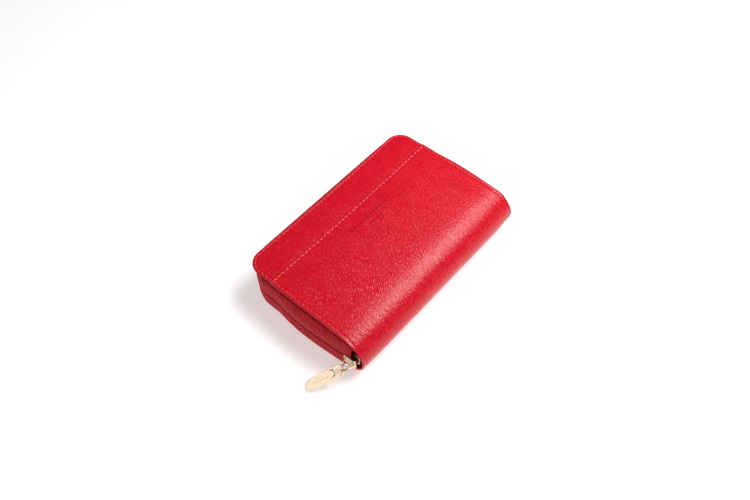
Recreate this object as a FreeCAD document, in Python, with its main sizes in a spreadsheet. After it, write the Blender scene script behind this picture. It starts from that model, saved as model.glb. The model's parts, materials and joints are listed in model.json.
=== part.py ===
"""Compact zip-around wallet: two rounded leather covers on a rolled spine, closed by a coil zip.

Millimetres. +Z is up, the long axis is Y, the zip's long side is at -X and the spine at +X.
The origin is the middle of the underside. The slider stands at the -Y end, next to the spine.
"""

import FreeCAD, Part
import math
import os

import Sketcher

V = FreeCAD.Vector
doc = FreeCAD.newDocument("wallet")

# ---------------------------------------------------------------------------
# Driving dimensions
# ---------------------------------------------------------------------------
DRIVING = {
    # whole wallet
    "length": 130.0,             # along Y
    "width": 85.5,               # from the zip edge to the outside of the spine
    "thickness": 26.0,           # closed
    "corner_radius": 10.0,       # of the covers, at the zip side
    "fold_angle": 45.0,          # where the roll bends: degrees above and below its middle
    "fold_gap": 0.7,             # degrees between the spine leather and each cover
    # cover layers
    "leather": 1.3,
    "edge_strip_step": 0.25,     # how much lower the edge strip lies than the main panel
    "edge_strip_width": 18.7,
    "board": 0.8,
    "board_inset": 8.0,
    "lining": 0.5,
    "lining_inset": 3.2,
    "inner_end": 1.0,            # from the start of the roll to the inner layers
    # card leaves
    "leaf": 0.6,
    "leaf_space": 0.1,
    "leaf_step": 10.0,
    "leaf_start": 14.7,          # from the zip edge to the first leaf
    "leaf_end": 4.5,             # from the start of the roll to the leaves
    "leaf_span": 88.0,           # along Y, for a 85.6 mm card
    "leaf_corner": 2.0,
    # main zip
    "tape": 0.7,
    "tape_flange": 5.8,          # width sewn under the cover's edge
    "tape_flange_inset": 1.2,
    "tape_flange_thick": 0.6,
    "tape_bulge": 1.65,          # how far the closed zip stands outside the covers' edge
    "tape_rise": 5.7,            # height over which the tape slants outwards
    "tape_gap": 0.8,             # between the two tapes
    "tape_knee_step": 0.21,      # how much higher the slant ends on the tape's inner face
    "tape_foot_step": 0.42,      # and how much further in it starts
    "tape_tail_back": 3.8,       # from the slider's far end to the end of the tape inside it
    "tape_tail_high": 3.6,
    "coil": 1.3,
    "coil_high": 1.6,
    "zip_end": 0.15,             # from the start of the roll to the end of the sewn tape
    "stop_long": 2.0,
    "stop_play": 0.05,           # from the end of the coil to its stop
    # slider of the main zip
    "slider_long": 8.0,
    "slider_high": 7.0,
    "slider_plate": 0.85,
    "slider_play": 0.25,
    "slider_room": 1.4,          # from the slider's corner to the inside of the roll
    "post_long": 3.0,
    "post_thick": 0.5,
    "bridge_wide": 1.6,
    "bridge_thick": 0.7,
    "bridge_room": 2.0,
    "bridge_foot": 0.8,
    "bridge_inset": 0.7,
    # ring and tag
    "ring_middle_radius": 3.1,
    "ring_wire": 1.1,
    "ring_out": 3.8,             # from the slider's face to the ring's middle
    "ring_back": 0.0,            # from the slider's middle to the ring's middle, along X
    "ring_drop": 0.7,            # below mid-height
    "ring_turn": 30.0,           # degrees, the ring's axis from X towards -Y
    "tag_long": 23.2,
    "tag_wide": 7.0,
    "tag_thick": 1.3,
    "tag_bar": 1.2,
    "tag_slot": 4.4,
    "tag_slot_wide": 3.6,
    "tag_taper": 1.6,            # how much each side narrows towards the bar
    "tag_taper_long": 2.2,
    "tag_lead": 1.3,             # from the ring's middle to the tag's bar
    "tag_yaw": 36.0,             # degrees from -Y towards -X
    "tag_drop": 0.7248,          # from the ring's middle down to the tag's bar
    "tag_floor": 0.05,           # clearance of the tag's tip over the ground
    "tag_tip_flat": 0.2,         # left straight on each side of the rounded tip
    # spine
    "spine_pad_play": 0.1,
    "spine_pad_lift": 0.02,      # of the padding's flat face over the spine lining
    "spine_lining": 0.6,
    "spine_lining_play": 0.5,    # from its long edges to the roll's leather
    "spine_lining_inset": 5.0,
    # coin pocket
    "pocket_wall": 0.9,
    "pocket_room": 5.4,
    "pocket_span": 106.0,        # along Y
    "pocket_inset": 11.5,        # from the zip edge to the pocket's mouth
    "pocket_corner": 1.5,
    "pocket_side": 0.8,
    "pocket_side_setback": 2.0,  # from the mouth to the sides
    "pocket_side_inset": 0.4,
    "coin_zip_inset": 2.0,       # from the walls' ends to the coin zip's ends
    "coin_tape": 0.6,
    "coin_coil": 1.0,
    "coin_coil_high": 1.2,
    "coin_gap": 0.7,
    "coin_slider_long": 7.0,
    "coin_slider_high": 4.4,
    "coin_slider_plate": 0.8,
    "coin_slider_play": 0.25,
    "coin_slider_start": 5.0,    # from the pocket's side to the slider
    "coin_post": 0.4,
    "coin_post_long": 2.5,
    "coin_lug": 1.4,
    "coin_lug_room": 1.3,
    "coin_lug_inset": 1.0,       # from the slider's end
    "coin_lug_reach": 0.6,       # beyond the pull's pin
    "coin_lug_play": 0.15,       # between the pull and each lug
    "coin_lug_thick": 0.65,
    "coin_pin": 1.0,
    "coin_pull_long": 6.0,
    "coin_pull_thick": 0.7,
    "coin_pull_high": 3.0,
    # gussets
    "gusset_across": 0.64,       # a slanting sheet's thickness, measured along Y
    "gusset_spine_inset": 3.0,   # from the start of the roll
    "gusset_long": 34.0,         # along X
    "gusset_cover_inset": 8.5,   # from the covers' ends
    "gusset_pocket_inset": 11.7,
    "gusset_fold_near": 1.5,     # depth of the fold next to the spine
    "gusset_fold_far": 5.5,      # and at its other end
    "gusset_play": 0.05,
}

sheet = doc.addObject("Spreadsheet::Sheet", "Sheet")
for row, (alias, number) in enumerate(DRIVING.items(), start=1):
    sheet.set("A%d" % row, alias)
    sheet.set("B%d" % row, str(number))
    sheet.setAlias("B%d" % row, alias)
doc.recompute()


class Size:
    """A number that also carries the sheet expression it came from."""

    def __init__(self, number, text=None):
        self.number = float(number)
        self.text = text if text is not None else repr(float(number))

    def __add__(self, other):
        other = as_size(other)
        return Size(self.number + other.number, "(%s + %s)" % (self.text, other.text))

    def __radd__(self, other):
        return as_size(other) + self

    def __sub__(self, other):
        other = as_size(other)
        return Size(self.number - other.number, "(%s - %s)" % (self.text, other.text))

    def __rsub__(self, other):
        return as_size(other) - self

    def __mul__(self, other):
        other = as_size(other)
        return Size(self.number * other.number, "(%s * %s)" % (self.text, other.text))

    def __rmul__(self, other):
        return as_size(other) * self

    def __truediv__(self, other):
        other = as_size(other)
        return Size(self.number / other.number, "(%s / %s)" % (self.text, other.text))

    def __neg__(self):
        return Size(-self.number, "(0 - %s)" % self.text)

    def root(self):
        return Size(math.sqrt(self.number), "sqrt(%s)" % self.text)


def as_size(value):
    return value if isinstance(value, Size) else Size(value)


def cell(alias):
    """The value of one cell of the sheet, with its expression."""
    return Size(sheet.get(alias), "Sheet." + alias)


def bind(item, prop, value):
    """Sets a property and ties it to the sheet."""
    item.setExpression(prop, as_size(value).text)


# ---------------------------------------------------------------------------
# Places worked out from the driving dimensions
# ---------------------------------------------------------------------------
thickness = cell("thickness")
mid = thickness / 2
half_width = cell("width") / 2
half_length = cell("length") / 2
zip_edge = -half_width
roll_start = half_width - mid
leather = cell("leather")
seam = zip_edge + cell("edge_strip_width")
board_top = leather + cell("board")
lining_top = board_top + cell("lining")
inner_end = roll_start - cell("inner_end")
leaf_end = roll_start - cell("leaf_end")
zip_end = roll_start - cell("zip_end")
tape_edge = mid - cell("tape_gap") / 2
tape_outer = cell("tape_bulge")
tape_inner = tape_outer - cell("tape")
coil_inner = tape_inner - cell("coil")
coil_low = tape_edge - cell("coil_high")
pocket_low = mid - cell("pocket_room") / 2 - cell("pocket_wall")
pocket_top = mid + cell("pocket_room") / 2
pocket_floor = mid - cell("pocket_room") / 2
pocket_mouth = zip_edge + cell("pocket_inset")
pocket_half = cell("pocket_span") / 2
fold = math.radians(sheet.get("fold_angle"))
# the roll's chord, inside the leather, where the flat spine lining stands
chord_x = roll_start + (mid - leather) * math.cos(fold) - cell("spine_lining")
spine_half = half_length - cell("spine_lining_inset")


# ---------------------------------------------------------------------------
# Building helpers
# ---------------------------------------------------------------------------
def new_body(label):
    body = doc.addObject("PartDesign::Body", label)
    body.Label = label
    return body


def new_sketch(body, role, name):
    sketch = body.newObject("Sketcher::SketchObject", body.Name + "_" + name)
    plane = [f for f in body.Origin.OriginFeatures if f.Role == role][0]
    sketch.AttachmentSupport = [(plane, "")]
    sketch.MapMode = "FlatFace"
    return sketch


def pin_point(sketch, edge, end, x, y, tag):
    """Places one sketch point by two named distances from the origin."""
    for kind, value, letter in (("DistanceX", x, "x"), ("DistanceY", y, "y")):
        value = as_size(value)
        index = sketch.addConstraint(Sketcher.Constraint(kind, -1, 1, edge, end, value.number))
        name = "%s_%s" % (tag, letter)
        sketch.renameConstraint(index, name)
        sketch.setExpression("Constraints." + name, value.text)


def polygon(body, role, name, points):
    """A closed outline of straight edges through the points."""
    sketch = new_sketch(body, role, name)
    points = [(as_size(x), as_size(y)) for x, y in points]
    count = len(points)
    for index in range(count):
        start = points[index]
        stop = points[(index + 1) % count]
        sketch.addGeometry(
            Part.LineSegment(V(start[0].number, start[1].number, 0), V(stop[0].number, stop[1].number, 0))
        )
    for index in range(count):
        sketch.addConstraint(Sketcher.Constraint("Coincident", index, 2, (index + 1) % count, 1))
    for index, (x, y) in enumerate(points):
        pin_point(sketch, index, 1, x, y, "p%d" % index)
    return sketch


def add_pad(body, sketch, long, name="pad", symmetric=False, reverse=False):
    pad = body.newObject("PartDesign::Pad", body.Name + "_" + name)
    pad.Profile = sketch
    pad.SideType = "Symmetric" if symmetric else "One side"
    pad.Reversed = reverse
    pad.Length = as_size(long).number
    bind(pad, "Length", long)
    doc.recompute()
    return pad


def round_corners(body, feature, radius, wanted):
    """Fillets the upright edges whose middle point the test accepts."""
    names = []
    for index, edge in enumerate(feature.Shape.Edges, start=1):
        box = edge.BoundBox
        if box.XLength < 1e-6 and box.YLength < 1e-6 and wanted(edge.CenterOfMass):
            names.append("Edge%d" % index)
    fillet = body.newObject("PartDesign::Fillet", body.Name + "_corners")
    fillet.Base = (feature, names)
    fillet.Radius = as_size(radius).number
    bind(fillet, "Radius", radius)
    doc.recompute()
    return fillet


def raise_body(body, level):
    bind(body, ".Placement.Base.z", level)
    doc.recompute()


def plate(label, x0, x1, half, low, thick, radius):
    """A flat layer with its two corners at the zip side rounded."""
    body = new_body(label)
    outline = polygon(body, "XY_Plane", "outline", [(x0, -half), (x1, -half), (x1, half), (x0, half)])
    pad = add_pad(body, outline, thick)
    edge_x = (as_size(x0).number + as_size(x1).number) / 2
    round_corners(body, pad, radius, lambda point: point.x < edge_x)
    raise_body(body, low)
    return body


def inner_radius(inset):
    """A layer's corner radius when it lies a given distance inside the covers' edge."""
    inset = as_size(inset)
    rest = cell("corner_radius") - inset
    return rest if rest.number > 1.5 else Size(1.5)


def box(name, low, high):
    """A Part box from its low corner to its high corner, tied to the sheet."""
    item = doc.addObject("Part::Box", name)
    for axis, prop, a, b in zip("xyz", ("Length", "Width", "Height"), low, high):
        bind(item, prop, as_size(b) - a)
        bind(item, ".Placement.Base." + axis, a)
    return item


def fuse(label, pieces):
    item = doc.addObject("Part::MultiFuse", label)
    item.Label = label
    item.Shapes = pieces
    item.Refine = True
    return item


parts = []


def keep(item):
    parts.append(item)
    return item


def roll_band(body, name, start, stop):
    """The leather of the roll between two angles, in degrees above its middle."""
    sketch = new_sketch(body, "XZ_Plane", name)
    start = as_size(start)
    stop = as_size(stop)
    outer = mid
    inner = mid - leather
    centre = V(roll_start.number, mid.number, 0)
    first = math.radians(start.number)
    last = math.radians(stop.number)
    for radius in (outer, inner):
        circle = Part.Circle(centre, V(0, 0, 1), radius.number)
        sketch.addGeometry(Part.ArcOfCircle(circle, first, last))

    def on_roll(radius, angle):
        return centre + V(math.cos(angle), math.sin(angle), 0) * radius.number

    sketch.addGeometry(Part.LineSegment(on_roll(outer, last), on_roll(inner, last)))
    sketch.addGeometry(Part.LineSegment(on_roll(inner, first), on_roll(outer, first)))
    for a, a_end, b, b_end in ((0, 2, 2, 1), (2, 2, 1, 2), (1, 1, 3, 1), (3, 2, 0, 1), (0, 3, 1, 3)):
        sketch.addConstraint(Sketcher.Constraint("Coincident", a, a_end, b, b_end))
    pin_point(sketch, 0, 3, roll_start, mid, "middle")
    inward = stop + 180 if stop.number <= 0 else stop - 180
    for kind, edge, tag, value in (
        ("Radius", 0, "outer", outer),
        ("Radius", 1, "inner", inner),
        ("Angle", 2, "stop", inward),
        ("Angle", 3, "start", start),
    ):
        is_angle = kind == "Angle"
        number = math.radians(value.number) if is_angle else value.number
        index = sketch.addConstraint(Sketcher.Constraint(kind, edge, number))
        sketch.renameConstraint(index, tag)
        sketch.setExpression("Constraints." + tag, value.text + " * 1 deg" if is_angle else value.text)
    return sketch


# ---------------------------------------------------------------------------
# Covers: leather, board and lining
# ---------------------------------------------------------------------------
fold_line = cell("fold_angle")
cover_line = fold_line + cell("fold_gap")

back = new_body("back_cover_leather")
outline = polygon(
    back,
    "XY_Plane",
    "outline",
    [
        (zip_edge, -half_length),
        (roll_start, -half_length),
        (roll_start, half_length),
        (zip_edge, half_length),
    ],
)
flat = add_pad(back, outline, leather)
round_corners(back, flat, cell("corner_radius"), lambda point: point.x < 0)
add_pad(back, roll_band(back, "roll", -90, -cover_line), cell("length"), "roll_pad", symmetric=True)
keep(back)

front = new_body("front_cover_leather")
low = thickness - leather
corners = [(seam, low), (roll_start, low), (roll_start, thickness), (seam, thickness)]
panel = polygon(front, "XZ_Plane", "panel", corners)
add_pad(front, panel, cell("length"), symmetric=True)
add_pad(front, roll_band(front, "roll", cover_line, 90), cell("length"), "roll_pad", symmetric=True)
keep(front)

spine = new_body("spine_leather")
add_pad(spine, roll_band(spine, "roll", -fold_line, fold_line), cell("length"), symmetric=True)
keep(spine)

step = cell("edge_strip_step")
keep(
    plate(
        "front_edge_strip",
        zip_edge,
        seam,
        half_length,
        thickness - leather,
        leather - step,
        cell("corner_radius"),
    )
)


def layer(label, inset, low, thick):
    half = half_length - inset
    return keep(plate(label, zip_edge + inset, inner_end, half, low, thick, inner_radius(inset)))


layer("back_board", cell("board_inset"), leather, cell("board"))
layer("front_board", cell("board_inset"), thickness - board_top, cell("board"))
layer("back_lining", cell("lining_inset"), board_top, cell("lining"))
layer("front_lining", cell("lining_inset"), thickness - lining_top, cell("lining"))

leaf_names = ("outer", "middle", "inner")
for index, name in enumerate(leaf_names):
    edge_x = zip_edge + cell("leaf_start") + cell("leaf_step") * index
    pitch = cell("leaf") + cell("leaf_space")
    level = lining_top + cell("leaf_space") + pitch * index
    half = cell("leaf_span") / 2
    keep(plate("back_card_leaf_" + name, edge_x, leaf_end, half, level, cell("leaf"), cell("leaf_corner")))
    top = thickness - level - cell("leaf")
    keep(plate("front_card_leaf_" + name, edge_x, leaf_end, half, top, cell("leaf"), cell("leaf_corner")))


# ---------------------------------------------------------------------------
# Main zip: two tapes with their coils, on three sides
# ---------------------------------------------------------------------------
slider_half = cell("slider_high") / 2
roll_room = mid - leather - cell("slider_room")
slider_x1 = roll_start + (roll_room * roll_room - slider_half * slider_half).root()
slider_x0 = slider_x1 - cell("slider_long")
tail_end = slider_x1 - cell("tape_tail_back")


def edge_path(body, level, name):
    """The covers' edge, from the spine round the zip side and back to the spine."""
    sketch = new_sketch(body, "XY_Plane", name)
    bind(sketch, ".AttachmentOffset.Base.z", level)
    radius = cell("corner_radius")
    x0 = zip_edge.number
    x1 = zip_end.number
    y1 = half_length.number
    r = radius.number
    sketch.addGeometry(Part.LineSegment(V(x1, -y1, 0), V(x0 + r, -y1, 0)))
    low_corner = Part.Circle(V(x0 + r, -y1 + r, 0), V(0, 0, 1), r)
    sketch.addGeometry(Part.ArcOfCircle(low_corner, math.pi, 1.5 * math.pi))
    sketch.addGeometry(Part.LineSegment(V(x0, -y1 + r, 0), V(x0, y1 - r, 0)))
    high_corner = Part.Circle(V(x0 + r, y1 - r, 0), V(0, 0, 1), r)
    sketch.addGeometry(Part.ArcOfCircle(high_corner, 0.5 * math.pi, math.pi))
    sketch.addGeometry(Part.LineSegment(V(x0 + r, y1, 0), V(x1, y1, 0)))
    for a, a_end, b, b_end in ((0, 2, 1, 2), (1, 1, 2, 1), (2, 2, 3, 2), (3, 1, 4, 1)):
        sketch.addConstraint(Sketcher.Constraint("Tangent", a, a_end, b, b_end))
    sketch.addConstraint(Sketcher.Constraint("Horizontal", 0))
    sketch.addConstraint(Sketcher.Constraint("Vertical", 2))
    sketch.addConstraint(Sketcher.Constraint("Equal", 1, 3))
    pin_point(sketch, 0, 1, zip_end, -half_length, "front")
    pin_point(sketch, 4, 2, zip_end, half_length, "rear")
    index = sketch.addConstraint(Sketcher.Constraint("Radius", 1, r))
    sketch.renameConstraint(index, "corner")
    sketch.setExpression("Constraints.corner", radius.text)
    index = sketch.addConstraint(Sketcher.Constraint("DistanceX", 2, 1, -1, 1, -x0))
    sketch.renameConstraint(index, "edge")
    sketch.setExpression("Constraints.edge", half_width.text)
    return sketch


def edge_sweep(label, section):
    """Sweeps a section of (outward offset, height) points round the covers' edge."""
    body = new_body(label)
    path = edge_path(body, mid, "path")
    points = [(-half_length - offset, height) for offset, height in section]
    profile = polygon(body, "YZ_Plane", "section", points)
    bind(profile, ".AttachmentOffset.Base.z", zip_end)
    doc.recompute()
    pipe = body.newObject("PartDesign::AdditivePipe", body.Name + "_sweep")
    pipe.Profile = profile
    pipe.Spine = path
    doc.recompute()
    return body


flange_in = -(cell("tape_flange_inset") + cell("tape_flange"))
flange_top = leather + cell("tape_flange_thick")
wall_foot = -cell("tape_flange_inset")
knee = leather + cell("tape_rise")
tape_section = [
    (flange_in, leather),
    (wall_foot, leather),
    (tape_outer, knee),
    (tape_outer, tape_edge),
    (tape_inner, tape_edge),
    (tape_inner, knee + cell("tape_knee_step")),
    (wall_foot - cell("tape_foot_step"), flange_top),
    (flange_in, flange_top),
]
coil_section = [
    (coil_inner, coil_low),
    (tape_inner, coil_low),
    (tape_inner, tape_edge),
    (coil_inner, tape_edge),
]


def mirrored(section):
    return [(offset, thickness - as_size(height)) for offset, height in reversed(section)]


def tape_with_tail(label, section, low, high):
    """The swept tape and the stretch of it that goes on through the slider."""
    body = edge_sweep(label, section)
    y_outer = -half_length - tape_outer
    y_inner = -half_length - tape_inner
    tail = polygon(
        body,
        "XY_Plane",
        "tail",
        [
            (zip_end, y_outer),
            (tail_end, y_outer),
            (tail_end, y_inner),
            (zip_end, y_inner),
        ],
    )
    bind(tail, ".AttachmentOffset.Base.z", low)
    doc.recompute()
    add_pad(body, tail, high - low, "tail_pad")
    return keep(body)


tail_high = cell("tape_tail_high")
tape_with_tail("lower_zip_tape", tape_section, tape_edge - tail_high, tape_edge)
upper_edge = thickness - tape_edge
tape_with_tail("upper_zip_tape", mirrored(tape_section), upper_edge, upper_edge + tail_high)
keep(edge_sweep("lower_zip_coil", coil_section))
keep(edge_sweep("upper_zip_coil", mirrored(coil_section)))


def end_stops(label, low, high):
    """Two small stops, one on each end of a coil."""
    start = zip_end + cell("stop_play")
    stop = start + cell("stop_long")
    y_inner = half_length + coil_inner
    y_outer = half_length + tape_inner
    rear = box(label + "_rear", (start, y_inner, low), (stop, y_outer, high))
    ahead = box(label + "_ahead", (start, -y_outer, low), (stop, -y_inner, high))
    item = doc.addObject("Part::Compound", label)
    item.Label = label
    item.Links = [rear, ahead]
    return keep(item)


end_stops("lower_zip_stops", coil_low, tape_edge)
end_stops("upper_zip_stops", thickness - tape_edge, thickness - coil_low)

# ---------------------------------------------------------------------------
# Slider of the main zip
# ---------------------------------------------------------------------------
play = cell("slider_play")
slider_low = mid - slider_half
slider_high = mid + slider_half
face_in = -half_length - tape_outer - play
face_out = face_in - cell("slider_plate")
inner_face = -half_length - coil_inner + play
inner_back = inner_face + cell("slider_plate")
bridge_in = face_out - cell("bridge_room")
bridge_out = bridge_in - cell("bridge_thick")
bridge_low = mid - cell("bridge_wide") / 2
bridge_high = mid + cell("bridge_wide") / 2
bridge_x0 = slider_x0 + cell("bridge_inset")
bridge_x1 = slider_x1 - cell("bridge_inset")
foot = cell("bridge_foot")
post_low = mid - cell("post_thick") / 2
post_high = mid + cell("post_thick") / 2
slider = fuse(
    "zip_slider_body",
    [
        box("slider_outer_plate", (slider_x0, face_out, slider_low), (slider_x1, face_in, slider_high)),
        box("slider_inner_plate", (slider_x0, inner_face, slider_low), (slider_x1, inner_back, slider_high)),
        box(
            "slider_post",
            (slider_x1 - cell("post_long"), face_in, post_low),
            (slider_x1, inner_face, post_high),
        ),
        box("bridge_strap", (bridge_x0, bridge_out, bridge_low), (bridge_x1, bridge_in, bridge_high)),
        box("bridge_foot_a", (bridge_x0, bridge_in, bridge_low), (bridge_x0 + foot, face_out, bridge_high)),
        box("bridge_foot_b", (bridge_x1 - foot, bridge_in, bridge_low), (bridge_x1, face_out, bridge_high)),
    ],
)
keep(slider)

# ring and tag
ring_x = (slider_x0 + slider_x1) / 2 + cell("ring_back")
ring_y = face_out - cell("ring_out")
ring_z = mid - cell("ring_drop")
ring_turn = math.radians(sheet.get("ring_turn"))
ring_axis = V(math.cos(ring_turn), -math.sin(ring_turn), 0)
ring = doc.addObject("Part::Torus", "puller_ring")
ring.Label = "puller_ring"
bind(ring, "Radius1", cell("ring_middle_radius"))
bind(ring, "Radius2", cell("ring_wire") / 2)
ring.Placement = FreeCAD.Placement(V(), FreeCAD.Rotation(V(0, 0, 1), ring_axis))
for axis, value in (("x", ring_x), ("y", ring_y), ("z", ring_z)):
    bind(ring, ".Placement.Base." + axis, value)
keep(ring)

yaw = math.radians(sheet.get("tag_yaw"))
reach = cell("tag_long") - cell("tag_bar") / 2
bar_x = ring_x - cell("tag_lead") * math.sin(ring_turn)
bar_y = ring_y - cell("tag_lead") * math.cos(ring_turn)
bar_z = ring_z - cell("tag_drop")
# the tag hangs from the bar, and its tip's lower edge falls exactly to the ground clearance
half_thick = sheet.get("tag_thick") / 2
fall = bar_z.number - sheet.get("tag_floor")
droop = math.asin(fall / math.hypot(reach.number, half_thick)) - math.atan2(half_thick, reach.number)
tag_half = cell("tag_wide") / 2
bar_half = cell("tag_bar") / 2
neck_half = tag_half - cell("tag_taper")
shoulder = cell("tag_taper_long") - bar_half

tag = new_body("puller_tag")
tag_outline = polygon(
    tag,
    "XY_Plane",
    "outline",
    [
        (-bar_half, -neck_half),
        (shoulder, -tag_half),
        (reach, -tag_half),
        (reach, tag_half),
        (shoulder, tag_half),
        (-bar_half, neck_half),
    ],
)
tag_pad = add_pad(tag, tag_outline, cell("tag_thick"), symmetric=True)
slot_half = cell("tag_slot_wide") / 2
slot_end = bar_half + cell("tag_slot")
slot = polygon(
    tag,
    "XY_Plane",
    "slot",
    [(bar_half, -slot_half), (slot_end, -slot_half), (slot_end, slot_half), (bar_half, slot_half)],
)
pocket = tag.newObject("PartDesign::Pocket", "tag_slot_cut")
pocket.Profile = slot
pocket.Type = "ThroughAll"
pocket.SideType = "Symmetric"
doc.recompute()
tip_line = (shoulder.number + reach.number) / 2
round_corners(tag, pocket, tag_half - cell("tag_tip_flat"), lambda point: point.x > tip_line)
tag_direction = V(-math.sin(yaw) * math.cos(droop), -math.cos(yaw) * math.cos(droop), -math.sin(droop))
tag_across = V(math.cos(yaw), -math.sin(yaw), 0)
tag.Placement = FreeCAD.Placement(
    V(), FreeCAD.Rotation(tag_direction, tag_across, tag_direction.cross(tag_across), "XYZ")
)
for axis, value in (("x", bar_x), ("y", bar_y), ("z", bar_z)):
    bind(tag, ".Placement.Base." + axis, value)
keep(tag)

# ---------------------------------------------------------------------------
# Spine: padding and flat lining
# ---------------------------------------------------------------------------
spine_pad = new_body("spine_padding")
pad_sketch = new_sketch(spine_pad, "XZ_Plane", "section")
pad_radius = mid - leather - cell("spine_pad_play")
chord_face = chord_x + cell("spine_lining")
pad_face = chord_face + cell("spine_pad_lift")
pad_angle = math.acos((pad_face - roll_start).number / pad_radius.number)
centre = V(roll_start.number, mid.number, 0)
pad_sketch.addGeometry(
    Part.ArcOfCircle(Part.Circle(centre, V(0, 0, 1), pad_radius.number), -pad_angle, pad_angle)
)
ends = [
    V(centre.x + pad_radius.number * math.cos(a), centre.y + pad_radius.number * math.sin(a), 0)
    for a in (-pad_angle, pad_angle)
]
pad_sketch.addGeometry(Part.LineSegment(ends[1], ends[0]))
pad_sketch.addConstraint(Sketcher.Constraint("Coincident", 0, 2, 1, 1))
pad_sketch.addConstraint(Sketcher.Constraint("Coincident", 1, 2, 0, 1))
pad_sketch.addConstraint(Sketcher.Constraint("Vertical", 1))
pin_point(pad_sketch, 0, 3, roll_start, mid, "middle")
index = pad_sketch.addConstraint(Sketcher.Constraint("Radius", 0, pad_radius.number))
pad_sketch.renameConstraint(index, "roll")
pad_sketch.setExpression("Constraints.roll", pad_radius.text)
index = pad_sketch.addConstraint(Sketcher.Constraint("DistanceX", -1, 1, 1, 1, ends[0].x))
pad_sketch.renameConstraint(index, "chord")
pad_sketch.setExpression("Constraints.chord", pad_face.text)
add_pad(spine_pad, pad_sketch, spine_half * 2, symmetric=True)
keep(spine_pad)

chord_half = (mid - leather) * math.sin(fold) - cell("spine_lining_play")
spine_lining = new_body("spine_lining")
lining_outline = polygon(
    spine_lining,
    "XZ_Plane",
    "outline",
    [
        (chord_x, mid - chord_half),
        (chord_x + cell("spine_lining"), mid - chord_half),
        (chord_x + cell("spine_lining"), mid + chord_half),
        (chord_x, mid + chord_half),
    ],
)
add_pad(spine_lining, lining_outline, spine_half * 2, symmetric=True)
keep(spine_lining)

# ---------------------------------------------------------------------------
# Coin pocket between the covers, with its own zip
# ---------------------------------------------------------------------------
wall = cell("pocket_wall")
round_by = cell("pocket_corner")
keep(plate("coin_pocket_lower_wall", pocket_mouth, chord_x, pocket_half, pocket_low, wall, round_by))
keep(plate("coin_pocket_upper_wall", pocket_mouth, chord_x, pocket_half, pocket_top, wall, round_by))
side = cell("pocket_side")
coin_tape = cell("coin_tape")
side_face = pocket_half - cell("pocket_side_inset")
side_start = pocket_mouth + cell("pocket_side_setback")
for name, y0 in (("front", -side_face), ("rear", side_face - side)):
    label = "coin_pocket_side_" + name
    body = box(label, (side_start, y0, pocket_floor), (chord_x, y0 + side, pocket_top))
    body.Label = label
    keep(body)

coin_half = pocket_half - cell("coin_zip_inset")
coin_edge = mid - cell("coin_gap") / 2
coin_x = pocket_mouth
coin_coil_in = coin_x + coin_tape + cell("coin_coil")
coin_coil_low = coin_edge - cell("coin_coil_high")
for name, low, high, coil_a, coil_b in (
    ("lower", pocket_floor, coin_edge, coin_coil_low, coin_edge),
    ("upper", thickness - coin_edge, pocket_top, thickness - coin_edge, thickness - coin_coil_low),
):
    tape_box = box("coin_zip_tape_" + name, (coin_x, -coin_half, low), (coin_x + coin_tape, coin_half, high))
    keep(tape_box)
    coil_box = box(
        "coin_zip_coil_" + name,
        (coin_x + coin_tape, -coin_half, coil_a),
        (coin_coil_in, coin_half, coil_b),
    )
    keep(coil_box)

coin_play = cell("coin_slider_play")
coin_y0 = -pocket_half + cell("coin_slider_start")
coin_y1 = coin_y0 + cell("coin_slider_long")
coin_low = mid - cell("coin_slider_high") / 2
coin_high = mid + cell("coin_slider_high") / 2
coin_face = coin_x - coin_play
coin_out = coin_face - cell("coin_slider_plate")
coin_in = coin_coil_in + coin_play
coin_back = coin_in + cell("coin_slider_plate")
coin_post_low = mid - cell("coin_post") / 2
coin_post_high = mid + cell("coin_post") / 2
lug = cell("coin_lug")
lug_room = cell("coin_lug_room")
pin_x = coin_out - lug_room
pin_half = cell("coin_pin") / 2
lug_y = coin_y0 + cell("coin_lug_inset")
lug_x = pin_x - cell("coin_lug_reach")
pull_low = mid - cell("coin_pull_high") / 2
pull_high = mid + cell("coin_pull_high") / 2
lug_face = cell("coin_pull_high") / 2 + cell("coin_lug_play")
lug_back = lug_face + cell("coin_lug_thick")
coin_post_end = coin_y0 + cell("coin_post_long")
coin_pin_y = lug_y + lug / 2
coin_slider = fuse(
    "coin_slider_body",
    [
        box("coin_outer_plate", (coin_out, coin_y0, coin_low), (coin_face, coin_y1, coin_high)),
        box("coin_inner_plate", (coin_in, coin_y0, coin_low), (coin_back, coin_y1, coin_high)),
        box(
            "coin_slider_post",
            (coin_face, coin_y0, coin_post_low),
            (coin_in, coin_post_end, coin_post_high),
        ),
        box("coin_lug_low", (lug_x, lug_y, mid - lug_back), (coin_out, lug_y + lug, mid - lug_face)),
        box("coin_lug_high", (lug_x, lug_y, mid + lug_face), (coin_out, lug_y + lug, mid + lug_back)),
    ],
)
keep(coin_slider)

pull_thick = cell("coin_pull_thick")
pull_plate = box(
    "coin_pull_plate",
    (pin_x - pull_thick / 2, coin_pin_y, pull_low),
    (pin_x + pull_thick / 2, coin_pin_y + cell("coin_pull_long"), pull_high),
)
pull_eye = doc.addObject("Part::Cylinder", "coin_pull_eye")
bind(pull_eye, "Radius", pin_half)
bind(pull_eye, "Height", cell("coin_pull_high"))
for axis, value in (("x", pin_x), ("y", coin_pin_y), ("z", pull_low)):
    bind(pull_eye, ".Placement.Base." + axis, value)
keep(fuse("coin_zip_pull", [pull_plate, pull_eye]))


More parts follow.
